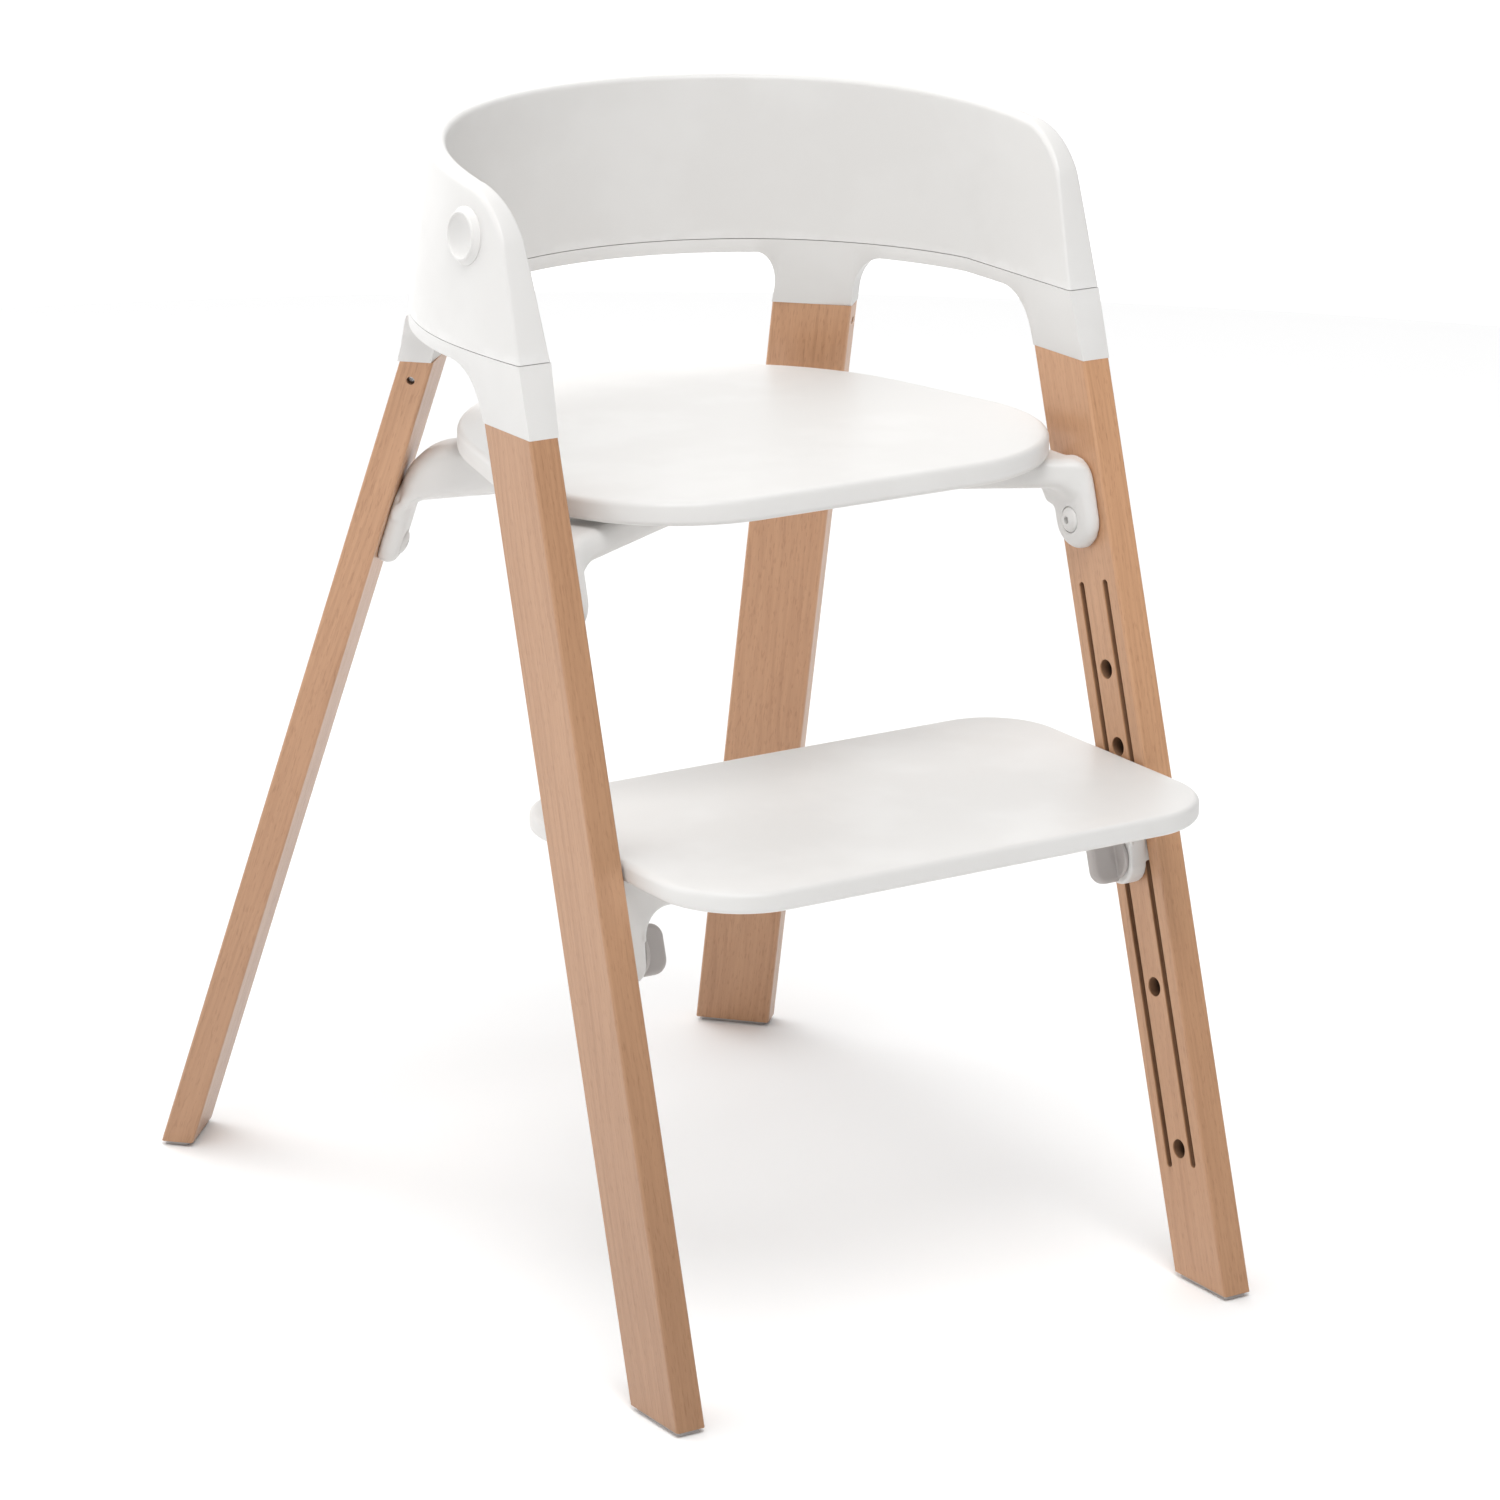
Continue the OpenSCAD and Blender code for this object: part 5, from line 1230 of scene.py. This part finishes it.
def fasteners(name, spots, sizes, body, material, replaced, sharp=30.0):
    """One mesh of fasteners, each at (place, outward way)."""
    mesh = bpy.data.meshes.new(name)
    mesh.from_pydata([tuple(place) for place, way in spots], [], [])
    turns = mesh.attributes.new("turn", "FLOAT_VECTOR", "POINT")
    for k, (place, way) in enumerate(spots):
        turns.data[k].vector = way.to_track_quat("Z", "Y").to_euler()
    piece = mesh_object(name, mesh)
    copies = piece.modifiers.new("copies", "NODES")
    copies.node_group = fastener_group
    for item in fastener_group.interface.items_tree:
        if item.in_out == "INPUT" and item.name in sizes:
            copies[item.identifier] = sizes[item.name]
        elif item.in_out == "INPUT" and item.name == "Material":
            copies[item.identifier] = material
    bake(piece)
    return dress(piece, body, material, replaced, sharp)


metal_skin, given, result = shader_group("metal_skin", {
    "Vector": None, "Tint": (0.6, 0.6, 0.6), "Dull": (0.45, 0.45, 0.45), "Rough": 0.3, "Edge": 0.5})
t = metal_skin
crevice_dirt = (0.05, 0.048, 0.045)
blotch = range_node(t, noise_node(t, given["Vector"], 160.0, 3.0, 0.6), 0.35, 0.7, 0.0, 1.0)
scratch = noise_node(t, stretch_node(t, given["Vector"], (1, 1, 0.08)), 1800.0)
rubbed_edge = range_node(t, given["Edge"], 0.52, 0.60, 0.0, 0.6)
dulled = less(t, times(t, blotch, 0.6), rubbed_edge, clamp=True)
crevice = range_node(t, given["Edge"], 0.38, 0.48, 0.75, 0.0)
metal_colour = mix_colour(t, dulled, given["Tint"], given["Dull"])
t.links.new(mix_colour(t, crevice, metal_colour, crevice_dirt), result["Color"])
t.links.new(added(t, given["Rough"], times(t, scratch, 0.12)), result["Roughness"])
t.links.new(scratch, result["Height"])
metal_relief, scratch_depth = 0.2, 0.00003


def metal_finish(name, tint, dull, rough, metallic):
    settings = {"Tint": (*tint, 1), "Dull": (*dull, 1), "Rough": rough}
    material = worn_skin(name, metal_skin, settings, metal_relief, scratch_depth)
    material.node_tree.nodes["Principled BSDF"].inputs["Metallic"].default_value = metallic
    return material


zinc = metal_finish("zinc_plated_steel", (0.60, 0.60, 0.61), (0.42, 0.42, 0.43), 0.30, 1.0)
white_paint = metal_finish("white_painted_metal", (0.710, 0.700, 0.685), (0.66, 0.65, 0.635), 0.34, 0.0)
turned_brass = metal_finish("turned_brass", (0.72, 0.52, 0.25), (0.52, 0.37, 0.17), 0.28, 1.0)
front_top_s = front_leg_top / cos(radians(front_lean)) / cos(radians(front_splay))
rear_top_s = rear_leg_top / cos(radians(rear_tilt)) / cos(radians(rear_rake))
cross_drop, cross_depth = 0.009, 0.005
cross_spots, nail_spots = [], []
glide_t, nail_head_h = 0.0032, 0.0015
for side in (-1, 1):
    for base, way in ((in_front_leg(0, front_leg_w / 2 - cross_depth, front_top_s - cross_drop),
                       front_leg_place.to_3x3() @ Vector((0, 1, 0))),
                      (in_rear_leg(rear_leg_w / 2 - cross_depth, 0, rear_top_s - cross_drop),
                       rear_leg_place.to_3x3() @ Vector((1, 0, 0)))):
        cross_spots.append((mirrored_point(side, base), mirrored_point(side, way)))
    for x, y in (front_foot, rear_foot):
        nail_spots.append((Vector((side * x, y, glide_t - nail_head_h)), down))
bolt = {"Head Radius": bolt_head_r, "Rim Height": 0.0006, "Dome Height": bolt_head_h - 0.0006,
        "Shank Radius": bolt_r, "Shank Length": 0.0194, "Socket Radius": hex_r, "Socket Depth": 0.0026}
screw_head = {"Head Radius": plate_head_r, "Rim Height": 0.0011, "Dome Height": 0.0014,
              "Shank Radius": plate_screw_r, "Socket Radius": 0.0016, "Socket Depth": 0.0013}
shell_screw = {**screw_head, "Head Radius": shell_head_r, "Shank Radius": 0.00175, "Shank Length": 0.0193}
cross_screw = {**screw_head, "Head Radius": 0.0025, "Rim Height": 0.0014, "Dome Height": 0.0006,
               "Shank Radius": 0.00175, "Shank Length": 0.027, "Socket Radius": 0.0012}
nail = {**screw_head, "Head Radius": 0.0035, "Rim Height": 0.0008, "Dome Height": 0.0006,
        "Shank Radius": 0.0015, "Shank Length": 0.017, "Socket Radius": 0.0006, "Socket Depth": 0.0001}
shell_heads = [(Vector((x, y, arch_z + shell_head_h)), down) for x, y in shell_screw_spots]
fasteners("bracket_bolts", bolt_spots, bolt, "frame", white_paint, ["seat_bracket_bolts"])
fasteners("seat_screws", seat_screw_spots, {**screw_head, "Shank Length": 0.0225}, "frame", zinc,
          ["seat_plate_screws"])
fasteners("shell_screws_set", shell_heads, shell_screw, "frame", zinc, ["shell_screws"])
fasteners("cross_screws_set", cross_spots, cross_screw, "frame", zinc, ["leg_cross_screws"])
fasteners("glide_nails_set", nail_spots, nail, "frame", zinc, ["glide_nails"])
finish_node("leg_inserts", turned_brass)

# Footrest
# A white moulded board between the front legs with softly rolled edges. Its own screws come up
# through the flanges of the two ears.
lowest_hole, hole_step, step_loss = 0.0895, 0.103, 0.018
hole_places = [lowest_hole + i * hole_step - step_loss * i * (i - 1) / 2 for i in range(5)]
front_stretch = 1 / (cos(radians(front_lean)) * cos(radians(front_splay)))
pin_s = hole_places[2]
pin_z = pin_s / front_stretch
pin_y = front_centre(pin_z)[1]
footrest_above_pin, footrest_t = 0.0605, 0.013
footrest_top = pin_z + footrest_above_pin
footrest_under = footrest_top - footrest_t
footrest_gap, highest_top = 0.0006, hole_places[-1] / front_stretch + footrest_above_pin
footrest_half = front_centre(highest_top)[0] - front_half_t - footrest_gap
footrest_front, footrest_rear, footrest_front_r, footrest_rear_r = 0.103, 0.134, 0.055, 0.048
front_x, front_y = footrest_half - footrest_front_r, pin_y - footrest_front + footrest_front_r
rear_x, rear_y = footrest_half - footrest_rear_r, pin_y + footrest_rear - footrest_rear_r
footrest = soft_plate("footrest_moulding", [
    (front_x, front_y, footrest_front_r, -90, 0), (rear_x, rear_y, footrest_rear_r, 0, 90),
    (-rear_x, rear_y, footrest_rear_r, 90, 180), (-front_x, front_y, footrest_front_r, 180, 270)],
    footrest_under, footrest_top, seat_roll)
dress(footrest, "footrest", white_plastic, ["footrest_plate"], 30.0)

# Footrest ears
# A white moulded ear under each end of the footrest lies along the leg and gets narrower downwards,
# with two ribs that run in the leg's grooves. A flange with a hollow curve carries the board, and a
# skirt at the ear's front edge stiffens it.
ear_gap, ear_t, ear_half, ear_drop = 0.0007, 0.013, 0.018, 0.0180
ear_foot_r, ear_taper_top, ear_ease, ear_roll = 0.0145, 0.016, 0.0004, 0.0018
skirt_t, skirt_curve_r, skirt_curve_s, skirt_rise, skirt_roll = 0.0045, 0.019, 0.0062, 0.003, 0.0012
flange_t, flange_reach, flange_curve_r, flange_roll = 0.004, 0.024, 0.016, 0.0014
groove_offset, rib_w, rib_reach, rib_roll = 0.0126, 0.0046, 0.0028, 0.0008
rib_below, rib_above = 0.005, 0.0368
pin_r, neck_r, neck_len, run_clear = 0.005, 0.008, 0.004, 0.00006
footrest_screw_gap, flange_head_clear, head_sink, head_reach = 0.020, 0.0003, 0.0005, 0.02
part_lap, bore_past, above_cut, ear_voxel, ear_rounds = 0.002, 0.004, 0.02, 0.0008, 3
ear_face = front_leg_t / 2 + ear_gap
ear_inner = ear_face + ear_t
ear_x, ear_y = front_centre(footrest_under)[0] - ear_inner, front_centre(footrest_under)[1] + footprint_shift
ear_top = pin_s + footrest_above_pin + above_cut
footrest_screw_spots = []
for side in (-1, 1):
    for k in (-0.5, 0.5):
        spot = Vector((side * (ear_x - flange_reach * 0.6), ear_y + k * footrest_screw_gap,
                       footrest_under - flange_t + head_sink))
        footrest_screw_spots.append((spot, down))


def under_footrest(x, z, depth):
    """Places the flange's side view at the ear's inner face, under the board."""
    return Vector((ear_x + x, ear_y + depth, footrest_under + z))


def for_side(piece, side):
    """Turns a right-hand piece into a left-hand one where side is -1."""
    if side < 0:
        piece.data.transform(Matrix.Diagonal((-1, 1, 1, 1)))
        piece.data.flip_normals()
    return piece


for side, label in ((-1, "left"), (1, "right")):
    plate, skirt, ribs, flange = bmesh.new(), bmesh.new(), bmesh.new(), bmesh.new()
    plate_view = arc_points(0, pin_s - ear_drop + ear_foot_r, ear_foot_r, 180, 360)
    plate_view += [(ear_half, pin_s + ear_taper_top), (ear_half, ear_top), (-ear_half, ear_top),
                   (-ear_half, pin_s + ear_taper_top)]
    add_prism(plate, plate_view, -ear_inner, -ear_face - ear_ease, across_front_leg, ear_roll)
    sliced(plate, (0, 0, footrest_under), (0, 0, 1))
    skirt_low, skirt_under = pin_s + skirt_curve_s, pin_s + skirt_curve_s + skirt_curve_r
    skirt_view = arc_points(-ear_inner - skirt_curve_r, skirt_low, skirt_curve_r, 0, 90)
    skirt_view += [(-ear_inner - flange_reach + skirt_rise / 2, skirt_under),
                   (-ear_inner - flange_reach, skirt_under + skirt_rise),
                   (-ear_inner - flange_reach, ear_top), (part_lap - ear_inner, ear_top),
                   (part_lap - ear_inner, skirt_low)]
    add_prism(skirt, skirt_view, -ear_half, skirt_t - ear_half, along_front_leg, skirt_roll)
    sliced(skirt, (0, 0, footrest_under), (0, 0, 1))
    rib_half, rib_low, rib_high = rib_w / 2 - ear_ease, pin_s - rib_below, pin_s + rib_above
    for k in (-1, 1):
        near, far = k * groove_offset - rib_half, k * groove_offset + rib_half
        add_prism(ribs, [(near, rib_low), (far, rib_low), (far, rib_high), (near, rib_high)],
                  -ear_face - part_lap, -ear_face + ear_gap + rib_reach - ear_ease, across_front_leg,
                  rib_roll, 2)
    flange_view = [(-flange_reach, 0), (-flange_reach, -flange_t)]
    flange_view += arc_points(-flange_curve_r, -flange_t - flange_curve_r, flange_curve_r, 90, 0)
    flange_view += [(part_lap / 2, -flange_t - flange_curve_r), (part_lap / 2, 0)]
    add_prism(flange, flange_view, -ear_half, ear_half, under_footrest, flange_roll)
    ear = cast("footrest_ear_" + label, [plate, skirt, ribs, flange], ear_voxel, ear_rounds)
    bore_start = in_front_leg(-ear_inner - bore_past, 0, pin_s)
    ear_holes = [(bore_start, in_front_leg(-ear_face + bore_past, 0, pin_s), pin_r + run_clear),
                 (bore_start, in_front_leg(neck_len - ear_inner, 0, pin_s), neck_r + run_clear)]
    for spot, way in footrest_screw_spots:
        if spot.x > 0:
            ear_holes.append((spot + down * head_reach, spot, plate_head_r + flange_head_clear))
    bored(ear, ear_holes)
    dress(for_side(ear, side), "footrest", white_plastic, ["footrest_bracket_" + label],
          40.0)
fasteners("footrest_screws", footrest_screw_spots, {**screw_head, "Shank Length": 0.0114}, "footrest",
          zinc, ["footrest_plate_screws"])

# Locking knobs
# A grey moulded knob turns on a neck in each ear: a round disc and a thick fin to turn it by. A
# quarter turn drives the steel pin behind it into a hole in the leg.
grey_plastic = moulded_plastic("grey_plastic", (0.440, 0.410, 0.395), (0.49, 0.46, 0.445), 0.48, 0.00006)
knob_gap, knob_flange_r, knob_flange_t, knob_flange_roll = 0.0003, 0.0140, 0.003, 0.0009
knob_fin_out, knob_fin_half, knob_fin_t, knob_fin_r, knob_fin_roll = 0.017, 0.0155, 0.0085, 0.009, 0.0026
pin_tail_r, pin_tail_len, knob_bore_start, knob_voxel = 0.0025, 0.011, 0.01, 0.0006
knob_face = ear_inner + knob_gap
fin_start = knob_face + knob_flange_t
fin_end = fin_start + knob_fin_out
for side, label in ((-1, "left"), (1, "right")):
    disc, fin, neck = bmesh.new(), bmesh.new(), bmesh.new()
    add_prism(disc, round_outline(0, pin_s, knob_flange_r, 64), -fin_start, -knob_face, across_front_leg,
              knob_flange_roll, 3)
    add_prism(neck, round_outline(0, pin_s, neck_r, 48), -knob_face - part_lap / 2, neck_len - ear_inner,
              across_front_leg, 0)
    fin_low, fin_high, corner_x = pin_s - knob_fin_half, pin_s + knob_fin_half, knob_fin_r - fin_end
    fin_view = arc_points(corner_x, fin_high - knob_fin_r, knob_fin_r, 90, 180, 12)
    fin_view += arc_points(corner_x, fin_low + knob_fin_r, knob_fin_r, 180, 270, 12)
    fin_view += [(part_lap / 2 - fin_start, fin_low), (part_lap / 2 - fin_start, fin_high)]
    add_prism(fin, fin_view, -knob_fin_t / 2, knob_fin_t / 2, along_front_leg, knob_fin_roll)
    knob = cast("lock_knob_" + label + "_moulding", [disc, fin, neck], knob_voxel, ear_rounds)
    bore_start = in_front_leg(knob_bore_start - ear_inner, 0, pin_s)
    bored(knob, [(bore_start, in_front_leg(-knob_face, 0, pin_s), pin_r + run_clear),
                 (bore_start, in_front_leg(-knob_face - pin_tail_len, 0, pin_s), pin_tail_r + run_clear)])
    dress(for_side(knob, side), "knob_" + label, grey_plastic, ["lock_knob_" + label], 40.0)
    finish_node("lock_pin_" + label, zinc)

# Glides
# A grey plastic pad under each leg, nailed on and set in a little from the leg's faces.
glide_inset, glide_roll, board_edge_r, nail_bore_r, nail_reach = 0.0025, 0.0006, 0.002, 0.0036, 0.01


def glide_rows(work, half_x, half_y, leg_place):
    """A flat pad whose outline is the leg's own, set in, sheared as the leg leans."""
    outline = []
    for cx, cy, start in ((1, 1, 0), (-1, 1, 90), (-1, -1, 180), (1, -1, 270)):
        outline += arc_points(cx * (half_x - board_edge_r), cy * (half_y - board_edge_r), board_edge_r,
                              start, start + 90, 5)
    run = leg_place.to_3x3() @ Vector((0, 0, 1))
    levels = [(3 * glide_roll, 0.0), (glide_roll, 0.0), (0.3 * glide_roll, 0.3 * glide_roll),
              (0.0, glide_roll), (0.0, glide_t)]
    rings = []
    for inset, z in levels:
        ring = []
        for x, y in outline:
            at = leg_place @ Vector((x * (1 - inset / half_x), y * (1 - inset / half_y), 0))
            ring.append(work.verts.new(at + run * ((z - at.z) / run.z)))
        rings.append(ring)
    join_rings(work, rings)


pads = bmesh.new()
glide_rows(pads, front_leg_t / 2 - glide_inset, front_leg_w / 2 - glide_inset, front_leg_place)
glide_rows(pads, rear_leg_w / 2 - glide_inset, rear_leg_t / 2 - glide_inset, rear_leg_place)
add_twin(pads)
glide_set = shown("glide_pads", pads)
bored(glide_set, [(place, place + down * nail_reach, nail_bore_r) for place, way in nail_spots])
dress(glide_set, "frame", grey_plastic, ["glides"], 30.0)
